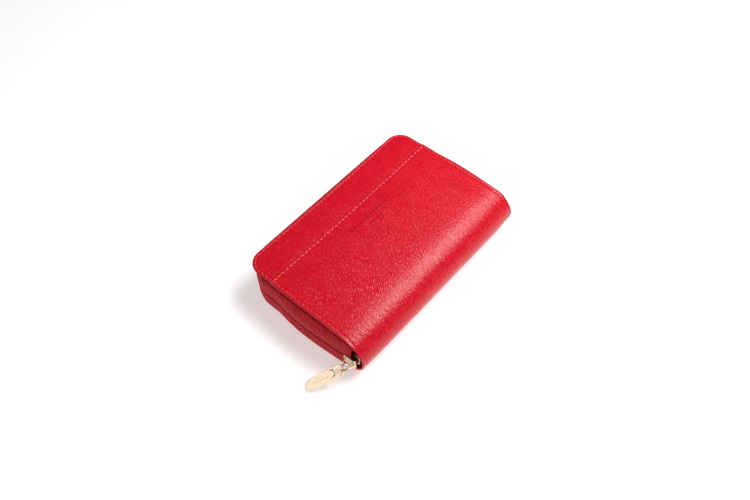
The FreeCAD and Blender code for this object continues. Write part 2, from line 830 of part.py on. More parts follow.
# ---------------------------------------------------------------------------
# Gussets: thin folded sheets at the short ends, from each cover to the pocket
# ---------------------------------------------------------------------------
def gusset(label, end, upper):
    """A sheet with one inward fold, deeper away from the spine. `end` is -1 or +1 along Y."""
    play_z = sheet.get("gusset_play")
    across = sheet.get("gusset_across")
    low = lining_top.number + play_z
    high = pocket_low.number - play_z
    y_cover = half_length.number - sheet.get("gusset_cover_inset")
    y_pocket = half_length.number - sheet.get("gusset_pocket_inset")
    wires = []
    x_near = roll_start.number - sheet.get("gusset_spine_inset")
    stations = (
        (x_near, sheet.get("gusset_fold_near")),
        (x_near - sheet.get("gusset_long"), sheet.get("gusset_fold_far")),
    )
    for x, depth in stations:
        line = [(y_cover, low), (y_pocket - depth, (low + high) / 2), (y_pocket, high)]
        loop = line + [(y + across, z) for y, z in reversed(line)]
        points = []
        for y, z in loop:
            points.append(V(x, end * y, thickness.number - z if upper else z))
        wires.append(Part.makePolygon(points + [points[0]]))
    shape = Part.makeLoft(wires, True, True)
    item = doc.addObject("Part::Feature", label)
    item.Label = label
    item.Shape = shape
    item.Placement = FreeCAD.Placement()
    return keep(item)


for side_name, end in (("front", -1), ("rear", 1)):
    gusset("back_gusset_" + side_name, end, False)
    gusset("front_gusset_" + side_name, end, True)

# ---------------------------------------------------------------------------
# Checks and files
# ---------------------------------------------------------------------------
doc.recompute()
for item in doc.Objects:
    state = item.State
    if "Invalid" in state or "Error" in state:
        raise RuntimeError("%s failed: %s" % (item.Label, state))
for item in parts:
    if item.Shape.isNull() or not item.Shape.isValid():
        raise RuntimeError("%s has no valid shape" % item.Label)
    if item.Shape.Volume <= 0:
        raise RuntimeError("%s is inside out" % item.Label)

os.makedirs("parts", exist_ok=True)
for item in parts:
    item.Shape.exportStep("parts/%s.step" % item.Label)
    bounds = item.Shape.BoundBox
    print(
        "%-26s %9.1f mm3  x %.2f..%.2f  y %.2f..%.2f  z %.2f..%.2f"
        % (
            item.Label,
            item.Shape.Volume,
            bounds.XMin,
            bounds.XMax,
            bounds.YMin,
            bounds.YMax,
            bounds.ZMin,
            bounds.ZMax,
        )
    )
print(len(parts), "nodes")
print("ring middle", ring_x.number, ring_y.number, ring_z.number)
print("tag bar", bar_x.number, bar_y.number, bar_z.number, "direction", tag_direction)
print("coin pull pin", pin_x.number, coin_pin_y.number)
fold_x = roll_start.number + mid.number * math.cos(fold)
print("fold lines x", fold_x, "z", mid.number * (1 - math.sin(fold)), mid.number * (1 + math.sin(fold)))
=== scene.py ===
# %% [markdown]
# # A zip-around wallet in red pebbled leather
# The wallet is closed and lies flat. Two leather covers turn round a rolled spine, a coil zip
# closes the other three sides, and its slider carries a ring and a long pull tag.
# The solids that move are already made. This lesson dresses them: each leather, cloth, thread
# and metal piece is built as a mesh in code, where the solid part says, and rides on its body.

import json
import math

import bmesh
import bpy
from mathutils import Matrix, Vector
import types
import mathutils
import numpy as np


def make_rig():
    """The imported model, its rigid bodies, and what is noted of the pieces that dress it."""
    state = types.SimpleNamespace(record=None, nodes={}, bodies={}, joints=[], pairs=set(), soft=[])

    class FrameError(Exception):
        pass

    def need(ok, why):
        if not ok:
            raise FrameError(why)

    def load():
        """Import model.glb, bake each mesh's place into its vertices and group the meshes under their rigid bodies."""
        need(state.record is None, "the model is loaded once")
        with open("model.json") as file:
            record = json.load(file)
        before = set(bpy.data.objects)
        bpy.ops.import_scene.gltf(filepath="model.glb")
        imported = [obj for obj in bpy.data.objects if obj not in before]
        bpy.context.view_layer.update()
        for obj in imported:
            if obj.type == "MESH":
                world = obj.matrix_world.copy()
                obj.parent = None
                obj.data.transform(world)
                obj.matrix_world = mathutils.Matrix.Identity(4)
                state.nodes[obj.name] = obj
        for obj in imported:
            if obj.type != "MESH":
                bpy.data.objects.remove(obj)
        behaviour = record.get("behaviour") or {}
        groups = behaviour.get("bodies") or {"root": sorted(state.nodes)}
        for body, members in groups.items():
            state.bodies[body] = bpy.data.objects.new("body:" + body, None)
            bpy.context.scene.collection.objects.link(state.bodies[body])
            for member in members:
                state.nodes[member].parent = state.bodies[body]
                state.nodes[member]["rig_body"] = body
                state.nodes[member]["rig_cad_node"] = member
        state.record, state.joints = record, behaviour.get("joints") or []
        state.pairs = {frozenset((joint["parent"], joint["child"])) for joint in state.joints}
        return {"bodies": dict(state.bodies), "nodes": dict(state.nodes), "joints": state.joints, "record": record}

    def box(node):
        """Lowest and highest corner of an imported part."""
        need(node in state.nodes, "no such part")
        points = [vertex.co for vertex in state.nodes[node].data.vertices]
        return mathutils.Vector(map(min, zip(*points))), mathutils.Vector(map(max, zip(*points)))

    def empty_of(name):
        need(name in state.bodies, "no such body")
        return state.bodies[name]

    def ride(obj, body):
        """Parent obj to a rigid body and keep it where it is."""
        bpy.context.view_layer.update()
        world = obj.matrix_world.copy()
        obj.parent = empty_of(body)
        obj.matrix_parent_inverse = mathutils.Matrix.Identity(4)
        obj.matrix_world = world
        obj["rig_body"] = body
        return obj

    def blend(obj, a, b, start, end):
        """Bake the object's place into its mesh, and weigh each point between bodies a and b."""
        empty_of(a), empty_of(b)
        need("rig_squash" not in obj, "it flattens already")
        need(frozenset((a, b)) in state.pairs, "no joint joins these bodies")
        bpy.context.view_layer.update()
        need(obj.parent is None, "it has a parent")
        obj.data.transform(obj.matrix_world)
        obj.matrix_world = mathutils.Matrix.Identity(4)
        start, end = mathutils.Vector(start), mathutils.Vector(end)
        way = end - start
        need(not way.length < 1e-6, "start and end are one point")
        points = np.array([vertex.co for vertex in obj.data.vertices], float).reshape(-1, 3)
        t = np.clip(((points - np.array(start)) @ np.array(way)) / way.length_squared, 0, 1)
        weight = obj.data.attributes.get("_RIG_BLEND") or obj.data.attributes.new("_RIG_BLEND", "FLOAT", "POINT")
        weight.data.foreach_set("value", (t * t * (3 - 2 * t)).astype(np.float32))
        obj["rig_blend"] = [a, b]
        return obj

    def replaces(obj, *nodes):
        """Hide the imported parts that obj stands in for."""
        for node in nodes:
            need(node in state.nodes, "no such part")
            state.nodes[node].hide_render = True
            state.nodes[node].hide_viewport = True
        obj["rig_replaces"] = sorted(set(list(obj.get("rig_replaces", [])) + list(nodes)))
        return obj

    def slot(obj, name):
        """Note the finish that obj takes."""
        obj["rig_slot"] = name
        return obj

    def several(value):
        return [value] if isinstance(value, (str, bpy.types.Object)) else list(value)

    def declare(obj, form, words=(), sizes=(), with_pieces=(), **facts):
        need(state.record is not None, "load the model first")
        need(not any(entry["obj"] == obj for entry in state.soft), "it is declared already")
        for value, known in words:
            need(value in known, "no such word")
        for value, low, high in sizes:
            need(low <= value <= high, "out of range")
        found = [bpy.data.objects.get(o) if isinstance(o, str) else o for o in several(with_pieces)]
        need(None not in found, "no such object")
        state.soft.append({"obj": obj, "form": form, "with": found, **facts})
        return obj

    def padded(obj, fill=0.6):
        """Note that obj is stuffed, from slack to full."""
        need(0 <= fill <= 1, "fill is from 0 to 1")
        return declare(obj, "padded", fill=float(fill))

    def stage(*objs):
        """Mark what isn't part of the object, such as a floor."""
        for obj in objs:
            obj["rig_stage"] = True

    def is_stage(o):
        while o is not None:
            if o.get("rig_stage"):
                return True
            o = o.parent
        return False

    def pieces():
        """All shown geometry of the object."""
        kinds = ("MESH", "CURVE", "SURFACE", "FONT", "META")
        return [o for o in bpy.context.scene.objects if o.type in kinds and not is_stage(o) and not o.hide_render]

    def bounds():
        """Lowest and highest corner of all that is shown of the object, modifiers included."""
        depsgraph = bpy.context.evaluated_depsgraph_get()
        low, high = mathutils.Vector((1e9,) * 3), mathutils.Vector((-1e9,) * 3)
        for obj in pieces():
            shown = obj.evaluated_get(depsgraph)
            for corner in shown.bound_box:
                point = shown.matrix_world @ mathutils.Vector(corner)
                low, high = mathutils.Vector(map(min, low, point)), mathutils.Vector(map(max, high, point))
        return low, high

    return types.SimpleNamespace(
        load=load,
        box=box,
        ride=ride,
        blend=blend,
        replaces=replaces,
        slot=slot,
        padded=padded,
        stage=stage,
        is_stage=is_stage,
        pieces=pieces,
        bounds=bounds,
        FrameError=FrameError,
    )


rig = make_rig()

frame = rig.load()
solid_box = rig.bounds()
print("bodies:", ", ".join(sorted(frame["bodies"])))

# %% [markdown]
# ## Sizes
# Every place is read from the solids' own boxes, so that the looks follow the part when a size
# changes. Lengths are metres; MM turns a figure in millimetres into metres.

# %% Read the wallet's sizes
MM = 0.001
back_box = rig.box("back_cover_leather")
front_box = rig.box("front_cover_leather")
strip_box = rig.box("front_edge_strip")
board_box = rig.box("back_board")
lining_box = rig.box("back_lining")
tape_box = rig.box("lower_zip_tape")

ZIP_EDGE = back_box[0].x
HALF_LENGTH = back_box[1].y
THICK = front_box[1].z
MID = THICK / 2
SPINE_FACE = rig.box("spine_leather")[1].x
ROLL_START = SPINE_FACE - MID
LEATHER = board_box[0].z
SEAM_RUN = front_box[0].x - ZIP_EDGE
CORNER = board_box[0].x - ZIP_EDGE + 2 * MM
FLAT_RUN = ROLL_START - ZIP_EDGE
HALF_ROLL = MID * math.pi / 2
print("closed wallet %.1f x %.1f x %.1f mm" % tuple(
    1000 * v for v in (SPINE_FACE - ZIP_EDGE, 2 * HALF_LENGTH, THICK)))

# %% [markdown]
# ## From rows of points to a mesh
# Most pieces here are nets: rows of points joined by quads, like knitting. A net can be closed
# along its rows (a tube), from the last row to the first (a rim), or not at all (a sheet).
# Building nets in code keeps each edge line exactly where a maker would fold or cut.

# %% Nets of quads
def nets_piece(name, nets, ring=False, loop=False, rims=None, lay=None):
    """A smooth mesh from nets of points; rims and lay hold a value and a map place per point."""
    mesh = bpy.data.meshes.new(name)
    build = bmesh.new()
    rim_layer = build.verts.layers.float.new("rim") if rims else None
    lay_layer = build.loops.layers.uv.new("lay") if lay else None
    for n, rows in enumerate(nets):
        net = [[build.verts.new(point) for point in row] for row in rows]
        if rims:
            for verts, values in zip(net, rims[n]):
                for vert, value in zip(verts, values):
                    vert[rim_layer] = value
        many, wide = len(rows), len(rows[0])
        for r in range(many if loop else many - 1):
            for c in range(wide if ring else wide - 1):
                places = ((r, c), (r, c + 1), (r + 1, c + 1), (r + 1, c))
                face = build.faces.new([net[a % many][b % wide] for a, b in places])
                face.smooth = True
                if lay:
                    for corner, (a, b) in zip(face.loops, places):
                        corner[lay_layer].uv = lay[n][a % many][b % wide]
    bmesh.ops.remove_doubles(build, verts=build.verts, dist=1e-7)
    bmesh.ops.recalc_face_normals(build, faces=build.faces)
    build.to_mesh(mesh)
    build.free()
    piece = bpy.data.objects.new(name, mesh)
    bpy.context.scene.collection.objects.link(piece)
    return piece


print("nets can be made into meshes")

# %% [markdown]
# A few small tools give the rows: evenly spaced values, the angles of a full turn, a soft step
# and a round bump. A tube's ends are closed by shrinking one more ring to its middle point.

# %% Spacing, easing and closing
UP = Vector((0, 0, 1))
ALONG = Vector((0, 1, 0))


def steps(start, stop, count):
    """Evenly spaced values from start to stop, both included."""
    return [start + (stop - start) * i / (count - 1) for i in range(count)]


def full_turn(count):
    """Angles all the way round, without the first one again at the end."""
    return steps(0, 2 * math.pi, count + 1)[:-1]


def ease(t):
    """A soft step from 0 to 1."""
    t = min(max(t, 0.0), 1.0)
    return t * t * (3 - 2 * t)


def hill(distance, wide):
    """A round bump of height 1."""
    return math.exp(-((distance / wide) ** 2))


def capped(rows):
    """The rows of a tube, closed at both ends."""
    first, last = [[sum(row, Vector()) / len(row)] * len(row) for row in (rows[0], rows[-1])]
    return [first] + rows + [last]


print("a full turn in four:", [round(math.degrees(a)) for a in full_turn(4)])

# %% [markdown]
# ## Finishes
# Each finish is a material of nodes: a colour that varies a little, a roughness, and a small
# height that becomes bumps. Nodes need no picture files and stay sharp at any size.
# The helpers keep the node building short: each one makes a node and gives what comes out of it.

# %% Helpers for nodes
def new_finish(name, **sockets):
    """A material with its main shader's own sockets set."""
    finish = bpy.data.materials.new(name)
    finish.use_nodes = True
    shader = finish.node_tree.nodes["Principled BSDF"]
    for label, value in sockets.items():
        shader.inputs[label.replace("_", " ")].default_value = value
    return finish, finish.node_tree, shader


def add_node(tree, kind, inputs=None, **settings):
    """A node with its settings, and each input joined to a socket or set to a value."""
    node = tree.nodes.new("ShaderNode" + kind)
    for key, value in settings.items():
        setattr(node, key, value)
    for key, value in (inputs or {}).items():
        if isinstance(value, bpy.types.NodeSocket):
            tree.links.new(value, node.inputs[key])
        else:
            node.inputs[key].default_value = value
    return node


def sum_of(tree, operation, *terms):
    """One step of arithmetic on sockets or numbers."""
    return add_node(tree, "Math", dict(enumerate(terms)), operation=operation).outputs[0]


def vector_sum(tree, operation, place, by):
    """The same for places and directions."""
    return add_node(tree, "VectorMath", {0: place, 1: by}, operation=operation).outputs[0]


def between(tree, value, low, high, to_low=0.0, to_high=1.0):
    """A soft step of a value from low to high."""
    keys = {"Value": value, "From Min": low, "From Max": high, "To Min": to_low, "To Max": to_high}
    return add_node(tree, "MapRange", keys, interpolation_type="SMOOTHSTEP").outputs[0]


def noise(tree, place, scale, detail=2.0):
    """Cloudy noise from 0 to 1."""
    return add_node(tree, "TexNoise", {"Vector": place, "Scale": scale, "Detail": detail}).outputs[0]


def blend_colours(tree, share, first, second):
    """A colour between two, each a socket or (red, green, blue)."""
    first, second = [c if isinstance(c, bpy.types.NodeSocket) else (*c, 1.0) for c in (first, second)]
    return add_node(tree, "Mix", {0: share, 6: first, 7: second}, data_type="RGBA").outputs[2]


def object_place(tree):
    return add_node(tree, "TexCoord").outputs["Object"]


def add_bump(tree, shader, height, depth):
    bump = add_node(tree, "Bump", {"Height": height, "Distance": depth, "Strength": 1.0})
    tree.links.new(bump.outputs[0], shader.inputs["Normal"])


print("node helpers ready")

# %% [markdown]
# ## Pebbled leather
# Drummed calf leather has small pebbles about a millimetre across, with narrow creases between
# them, and fine pores on top. A Voronoi pattern gives the pebbles: its distance to the nearest
# cell edge is a height that is low in the creases. The pattern is turned and drawn out, as the
# hide is, and noise bends its cells so that no row of them looks printed.
# Where the hide is bent round the spine, finer creases run round the bend.

# %% The height of the grain
GRAIN_TURN = 0.72           # radians from the cover's edge to the way the pebbles are drawn out
CELL_BEND = 1.1 * MM        # how far noise shifts a pebble's edge
DOME_AT = 0.42              # how far in, as a share of a cell, a pebble is fully high
FINE_SHARE, SLOW_SHARE, CREASE_SHARE = 0.10, 1.5, 4.2


def roll_creases(tree, place):
    """Fine creases on the roll alone, close together along the wallet."""
    axes = add_node(tree, "SeparateXYZ", {0: place})
    bent = between(tree, axes.outputs[0], ROLL_START - 6 * MM, ROLL_START + 4 * MM)
    lines = noise(tree, vector_sum(tree, "MULTIPLY", place, (190.0, 900.0, 190.0)), 1.0)
    return sum_of(tree, "MULTIPLY", sum_of(tree, "MULTIPLY", lines, bent), CREASE_SHARE)


def pebble_height(tree, place, cells, pull):
    """The height of the grain, and the pebbles alone."""
    bend = add_node(tree, "TexNoise", {"Vector": place, "Scale": 420.0, "Detail": 2.0})
    shift = vector_sum(tree, "SUBTRACT", bend.outputs["Color"], (0.5, 0.5, 0.5))
    small = add_node(tree, "VectorMath", {0: shift, "Scale": CELL_BEND}, operation="SCALE")
    moved = vector_sum(tree, "ADD", place, small.outputs[0])
    keys = {"Vector": moved, "Rotation": (0.0, 0.0, GRAIN_TURN), "Scale": (1.0, pull, 1.0)}
    drawn = add_node(tree, "Mapping", keys, vector_type="TEXTURE").outputs[0]
    cell = add_node(tree, "TexVoronoi", {"Vector": drawn, "Scale": cells}, feature="DISTANCE_TO_EDGE")
    dome = between(tree, cell.outputs["Distance"], 0.0, DOME_AT)
    fine = noise(tree, drawn, cells * 3.1)
    slow = noise(tree, place, 95.0)
    height = sum_of(tree, "MULTIPLY_ADD", fine, FINE_SHARE, dome)
    height = sum_of(tree, "ADD", height, roll_creases(tree, place))
    return sum_of(tree, "MULTIPLY_ADD", slow, SLOW_SHARE, height), dome


print("grain turned by %.0f degrees" % math.degrees(GRAIN_TURN))

# %% [markdown]
# The colour follows the height: the creases are painted darker, as painted shade, and a slow
# noise shifts the red a little from place to place. The mesh carries a value, "rim", that is 1 on
# the hide's very edge; there the red is darkened, partly as the turned leather's own rubbed edge
# and partly as painted shade under the rim. A motif, if there is one, is pressed in, and its
# dents are painted darker as painted shade.

# %% A leather finish
PRESSED = 4.0               # how deep a motif is pressed, in heights of a pebble


def leather_finish(name, deep, bright, rim_colour, cells=900.0, pull=2.3, depth=0.07 * MM, motif=None,
                   **sockets):
    finish, tree, shader = new_finish(name, **sockets)
    place = object_place(tree)
    height, dome = pebble_height(tree, place, cells, pull)
    share = between(tree, noise(tree, place, 38.0, 3.0), 0.35, 0.68)
    colour = blend_colours(tree, share, deep, bright)
    # Painted shade: the creases between the pebbles are painted a darker red.
    crease_shade_colour = (0.80 * deep[0], 0.3 * deep[1], 0.7 * deep[2])
    colour = blend_colours(tree, sum_of(tree, "MULTIPLY_ADD", dome, 0.9, 0.1), crease_shade_colour, colour)
    # The hide's very edge is darkened: partly its own rubbed edge, partly painted shade under the turned rim.
    rim = add_node(tree, "Attribute", attribute_name="rim").outputs["Fac"]
    rim_wear_and_shade_share = sum_of(tree, "MULTIPLY", rim, between(tree, noise(tree, place, 700.0), 0.25, 0.5))
    colour = blend_colours(tree, rim_wear_and_shade_share, colour, rim_colour)
    rough = between(tree, noise(tree, place, 160.0), 0.3, 0.7, 0.28, 0.36)
    tree.links.new(rough, shader.inputs["Roughness"])
    if motif:
        dent = motif(tree, place)
        height = sum_of(tree, "MULTIPLY_ADD", dent, -PRESSED, height)
        # Painted shade: the dents of the pressed mark are painted darker.
        dark = tuple(0.5 * c for c in deep)
        colour = blend_colours(tree, sum_of(tree, "MULTIPLY", dent, 0.7), colour, dark)
    tree.links.new(colour, shader.inputs["Base Color"])
    add_bump(tree, shader, height, depth)
    return finish


print("a motif is pressed %.0f pebbles deep" % PRESSED)

# %% [markdown]
# The panel carries a small pressed mark. Two plain rows of lozenges stand for it: the pattern is
# worked out from the place on the panel, and taken off the leather's height as a dent.

# %% The pressed mark and the three leathers
def pressed_row(tree, place, middle_x, high, from_y, to_y, pitch):
    """A row of lozenges along Y, as a dent from 0 to 1."""
    axes = add_node(tree, "SeparateXYZ", {0: place})
    along = sum_of(tree, "DIVIDE", sum_of(tree, "SUBTRACT", axes.outputs[1], from_y), pitch)
    turn = sum_of(tree, "ABSOLUTE", sum_of(tree, "SUBTRACT", sum_of(tree, "FRACT", along), 0.5))
    across = sum_of(tree, "ABSOLUTE", sum_of(tree, "SUBTRACT", axes.outputs[0], middle_x))
    out = sum_of(tree, "ADD", sum_of(tree, "MULTIPLY", turn, 2.0), sum_of(tree, "DIVIDE", across, high / 2))
    lozenge = between(tree, out, 0.45, 0.95, 1.0, 0.0)
    first = sum_of(tree, "GREATER_THAN", axes.outputs[1], from_y)
    last = sum_of(tree, "LESS_THAN", axes.outputs[1], to_y)
    return sum_of(tree, "MULTIPLY", lozenge, sum_of(tree, "MULTIPLY", first, last))


def pressed_mark(tree, place):
    """A long row of lozenges with a short, smaller one beside it."""
    middle = (ZIP_EDGE + SEAM_RUN + ROLL_START) / 2
    main = pressed_row(tree, place, middle - 15.5 * MM, 4.0 * MM, -12.6 * MM, 18.6 * MM, 2.6 * MM)
    small = pressed_row(tree, place, middle - 11.0 * MM, 2.4 * MM, -2.0 * MM, 8.6 * MM, 1.76 * MM)
    return sum_of(tree, "ADD", main, small)


reds = {"deep": (0.70, 0.0034, 0.018), "bright": (0.79, 0.0072, 0.026), "rim_colour": (0.36, 0.0022, 0.013)}
red_leather = leather_finish("pebbled red leather", **reds, Specular_IOR_Level=0.39)
marked_leather = leather_finish("pebbled red leather with a pressed mark", **reds, motif=pressed_mark,
                                Specular_IOR_Level=0.39)
inner_leather = leather_finish("smooth inner leather", (0.30, 0.004, 0.010), (0.42, 0.008, 0.016),
                               (0.55, 0.06, 0.06), cells=1700.0, pull=1.0, depth=0.02 * MM,
                               Specular_IOR_Level=0.4)
print("leather finishes ready")

# %% [markdown]
# ## Thread, cloth and metal
# Thread is a twist: bands of a wave texture laid across each stitch. Cloth is two sets of fine
# waves crossing. The zip's tape is a twill, so its waves run slantwise along the tape, and it
# needs a map of the tape (how far along, how high) that the mesh code writes as it builds it.

# %% Thread, cloth and tape finishes
WAVE = 6.28                 # radians in one thread of the weave


def thread_finish(name, dark, light):
    finish, tree, shader = new_finish(name, Roughness=0.6, Sheen_Weight=0.04, Specular_IOR_Level=0.2)
    twist = add_node(tree, "TexWave", {"Vector": object_place(tree), "Scale": 900.0, "Distortion": 1.0},
                     bands_direction="DIAGONAL").outputs["Fac"]
    tree.links.new(blend_colours(tree, twist, dark, light), shader.inputs["Base Color"])
    add_bump(tree, shader, twist, 0.05 * MM)
    return finish


def woven_finish(name, dark, light, per_metre, slant=None, depth=0.06 * MM):
    """Cloth: two crossing sets of threads, or one slanting rib on a mapped tape."""
    finish, tree, shader = new_finish(name, Roughness=0.82, Sheen_Weight=0.06, Specular_IOR_Level=0.15)
    place = object_place(tree)
    if slant:
        axes = add_node(tree, "SeparateXYZ", {0: add_node(tree, "UVMap", uv_map="lay").outputs[0]})
        along = sum_of(tree, "MULTIPLY", axes.outputs[0], per_metre)
        across = sum_of(tree, "MULTIPLY", axes.outputs[1], per_metre * slant)
        rib = sum_of(tree, "SINE", sum_of(tree, "ADD", along, across))
        pick = sum_of(tree, "SINE", sum_of(tree, "MULTIPLY", axes.outputs[1], per_metre * 2.1))
    else:
        axes = add_node(tree, "SeparateXYZ", {0: place})
        rib, pick = [sum_of(tree, "SINE", sum_of(tree, "MULTIPLY", axes.outputs[i], per_metre * WAVE))
                     for i in (0, 1)]
    height = sum_of(tree, "MULTIPLY_ADD", pick, 0.4, rib)
    share = between(tree, height, -1.2, 1.2)
    fuzz = noise(tree, place, 900.0, 3.0)
    share = sum_of(tree, "MULTIPLY", share, between(tree, fuzz, 0.25, 0.6))
    tree.links.new(blend_colours(tree, share, dark, light), shader.inputs["Base Color"])
    add_bump(tree, shader, height, depth)
    return finish


seam_thread = thread_finish("pink seam thread", (0.90, 0.06, 0.09), (1.0, 0.20, 0.23))
edge_thread = thread_finish("red edge thread", (0.66, 0.014, 0.03), (0.95, 0.12, 0.15))
lining_cloth = woven_finish("lining cloth", (0.16, 0.004, 0.010), (0.28, 0.012, 0.020), 2300.0)
tape_cloth = woven_finish("zip tape twill", (0.30, 0.0045, 0.010), (0.74, 0.022, 0.034), 4200.0,
                          slant=1.1, depth=0.09 * MM)
print("thread and cloth finishes ready")

# %% [markdown]
# The metal is a pale champagne gold, polished, with faint brushing. Stretched noise gives the
# brushing, and a slow noise keeps the gold from being one flat tone. The zip's own turns are
# nylon: a smooth, slightly waxy plastic, dark red, painted nearly black as painted shade so
# that the thin line between the tape lips reads dark. Board and foam are plain, with a fine grain.

# %% Metal, nylon, board and foam finishes
def gold_finish(name, warm, pale, low, high):
    """Brushed gold, with a roughness from low to high."""
    finish, tree, shader = new_finish(name, Metallic=1.0)
    place = object_place(tree)
    brush = noise(tree, vector_sum(tree, "MULTIPLY", place, (900.0, 900.0, 5200.0)), 1.0)
    slow = noise(tree, place, 260.0, 1.0)
    tree.links.new(blend_colours(tree, slow, warm, pale), shader.inputs["Base Color"])
    tree.links.new(between(tree, brush, 0.3, 0.7, low, high), shader.inputs["Roughness"])
    add_bump(tree, shader, brush, 0.012 * MM)
    return finish


def plain_finish(name, dark, light, scale, depth, rough):
    """A quiet surface: two near colours and a fine grain."""
    finish, tree, shader = new_finish(name, Roughness=rough)
    grain = noise(tree, object_place(tree), scale, 4.0)
    tree.links.new(blend_colours(tree, grain, dark, light), shader.inputs["Base Color"])
    add_bump(tree, shader, grain, depth)
    return finish


gold = gold_finish("champagne gold", (0.80, 0.61, 0.42), (0.90, 0.75, 0.58), 0.2, 0.32)
engraved = gold_finish("engraved gold", (0.22, 0.14, 0.08), (0.32, 0.22, 0.13), 0.4, 0.5)
# The nylon's own dark red, darkened further to near black as painted shade for the gap between the tape lips.
nylon = plain_finish("dark red nylon", (0.035, 0.0012, 0.002), (0.06, 0.002, 0.004), 500.0, 0.02 * MM, 0.34)
board = plain_finish("grey board", (0.30, 0.28, 0.25), (0.45, 0.42, 0.38), 1500.0, 0.05 * MM, 0.9)
foam = plain_finish("cream foam", (0.70, 0.66, 0.56), (0.82, 0.79, 0.70), 2600.0, 0.08 * MM, 0.95)
print("metal, nylon, board and foam finishes ready")

# %% [markdown]
# ## Dressing the solids
# A piece gets its finish, the kind of material it is made of, and the solids that it stands
# for. A stiff piece then rides on one body; a piece that bends is blended between two.

# %% Dress and ride
def dress(piece, finish, slot, *nodes):
    """Gives a piece its finish and says which solids it stands for."""
    piece.data.materials.append(finish)
    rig.slot(piece, slot)
    if nodes:
        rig.replaces(piece, *nodes)
    return piece


def riding(name, nets, finish, slot, body, *nodes, **ways):
    """A stiff piece made of tubes, dressed and riding on its body."""
    piece = dress(nets_piece(name, nets, ring=True, **ways), finish, slot, *nodes)
    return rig.ride(piece, body)


print("pieces can be dressed")

# %% [markdown]
# ## The leather covers
# Each cover is one hide that starts at the zip edge and rolls half way round the spine, where
# the two hides meet. The edges are turned: the leather folds round its own rim, so the rim is a
# small half round, with a line of stitches 1.9 mm inside it that pulls the leather down.
# The net follows the rim in rings, so the turned edge stays crisp, also round the corners.
# The back cover's corners are rounder than the front's. Rings far inside would fold over
# themselves at the spine, so there they are held back.

# %% Rings round a rim
STITCH_INSET = 1.9 * MM
CORNER_EASE = 6.0 * MM      # how much rounder the back cover's corners are
HELD_BACK = 0.05            # the share that is left of a ring's way past the limit


def rim_ring(start, stop, corner, inset, half, flat_count=34, edge_count=60, corner_count=12):
    """Points (s, y) of a U-shaped rim moved inwards: an end, a corner, the edge, and back."""
    radius = max(corner - inset, 0.0)
    limit = FLAT_RUN - 3 * MM
    edge_s = start + inset
    if edge_s > limit:
        edge_s = limit + HELD_BACK * (edge_s - limit)
    turn = edge_s + radius
    side = max(half - inset, 0.0)
    leg = steps(stop, FLAT_RUN, 36)[:-1] if stop > FLAT_RUN else []
    leg += steps(min(stop, FLAT_RUN), turn, flat_count)
    points = [(s, -side) for s in leg]
    straight = max(side - radius, 0.0)
    for angle in steps(0, math.pi / 2, corner_count)[1:-1]:
        points.append((turn - radius * math.sin(angle), -straight - radius * math.cos(angle)))
    edge = [(edge_s, y) for y in steps(-straight, straight, edge_count)]
    return points + edge + [(s, -y) for s, y in reversed(points)]


print("a rim ring has %d points" % len(rim_ring(0.0, FLAT_RUN, CORNER, STITCH_INSET, HALF_LENGTH)))

# %% [markdown]
# A point of a hide is given by the way s along it from the zip edge, the place y and the depth.
# It lies flat first and then goes round the spine. Real leather doesn't start to bend at a
# line: it eases into the bend, so a small height is taken off on both sides of that line.

# %% Where a hide lies in space
WAIST = 1.1 * MM            # how much narrower the front cover is at the middle of its zip edge
BEND_EASE = 9 * MM          # the bend starts this far before the roll and is full this far into it
CROWN = 0.42 * MM           # how far the padded middle stands above the stitched rim
SUNK, SUNK_AT_SEAM = 0.2 * MM, 0.06 * MM


def waist(s, y):
    """How far the front cover's edge is drawn in."""
    if s > FLAT_RUN:
        return 0.0
    return WAIST * max(0.0, 1 - (y / (0.9 * HALF_LENGTH)) ** 2) * (1 - s / FLAT_RUN) ** 2


def on_cover(s, y, depth, top):
    """A place on a hide, in space: flat first, then round the spine."""
    if s <= FLAT_RUN:
        x, z = ZIP_EDGE + s, THICK - depth
    else:
        angle = (s - FLAT_RUN) / MID
        x = ROLL_START + (MID - depth) * math.sin(angle)
        z = MID + (MID - depth) * math.cos(angle)
    if not top:
        return Vector((x, y, THICK - z))
    return Vector((x + waist(s, y), y, z))


def eased_bend(run):
    """How far the hide lies inside a flat face joined to a round one, when the bend starts softly."""
    if run <= -BEND_EASE:
        return 0.0
    if run < BEND_EASE:
        return (run + BEND_EASE) ** 3 / (12 * BEND_EASE * MID) - max(run, 0.0) ** 2 / (2 * MID)
    full = BEND_EASE ** 2 / (6 * MID)
    turned = math.cos(min(run / MID, math.pi / 2)) / math.cos(BEND_EASE / MID)
    return full * ease(turned)


def swell(inset, s, top):
    """How far the leather stands above flat: a soft crown inside the sunk stitch line."""
    crown = CROWN * ease(inset / (17 * MM))
    if not top:
        crown *= ease((s - FLAT_RUN) / HALF_ROLL)
        return crown - SUNK * hill(inset - STITCH_INSET, 0.75 * MM)
    crown -= eased_bend(s - FLAT_RUN)
    at_seam = 0.0
    if s > SEAM_RUN:
        at_seam = ease(1 - (s - SEAM_RUN) / (4 * MM)) * ease((inset + SEAM_RUN - s) / MM + 1)
    sunk = SUNK + (SUNK_AT_SEAM - SUNK) * at_seam
    return crown - sunk * hill(inset - STITCH_INSET, 0.75 * MM)


print("the bend takes off up to %.2f mm" % (1000 * eased_bend(BEND_EASE)))

# %% [markdown]
# The net of a hide is a set of such rings, from the middle out over the face, round the turned
# edge and back inside. The rings stand closest where the stitches sink and the edge turns.

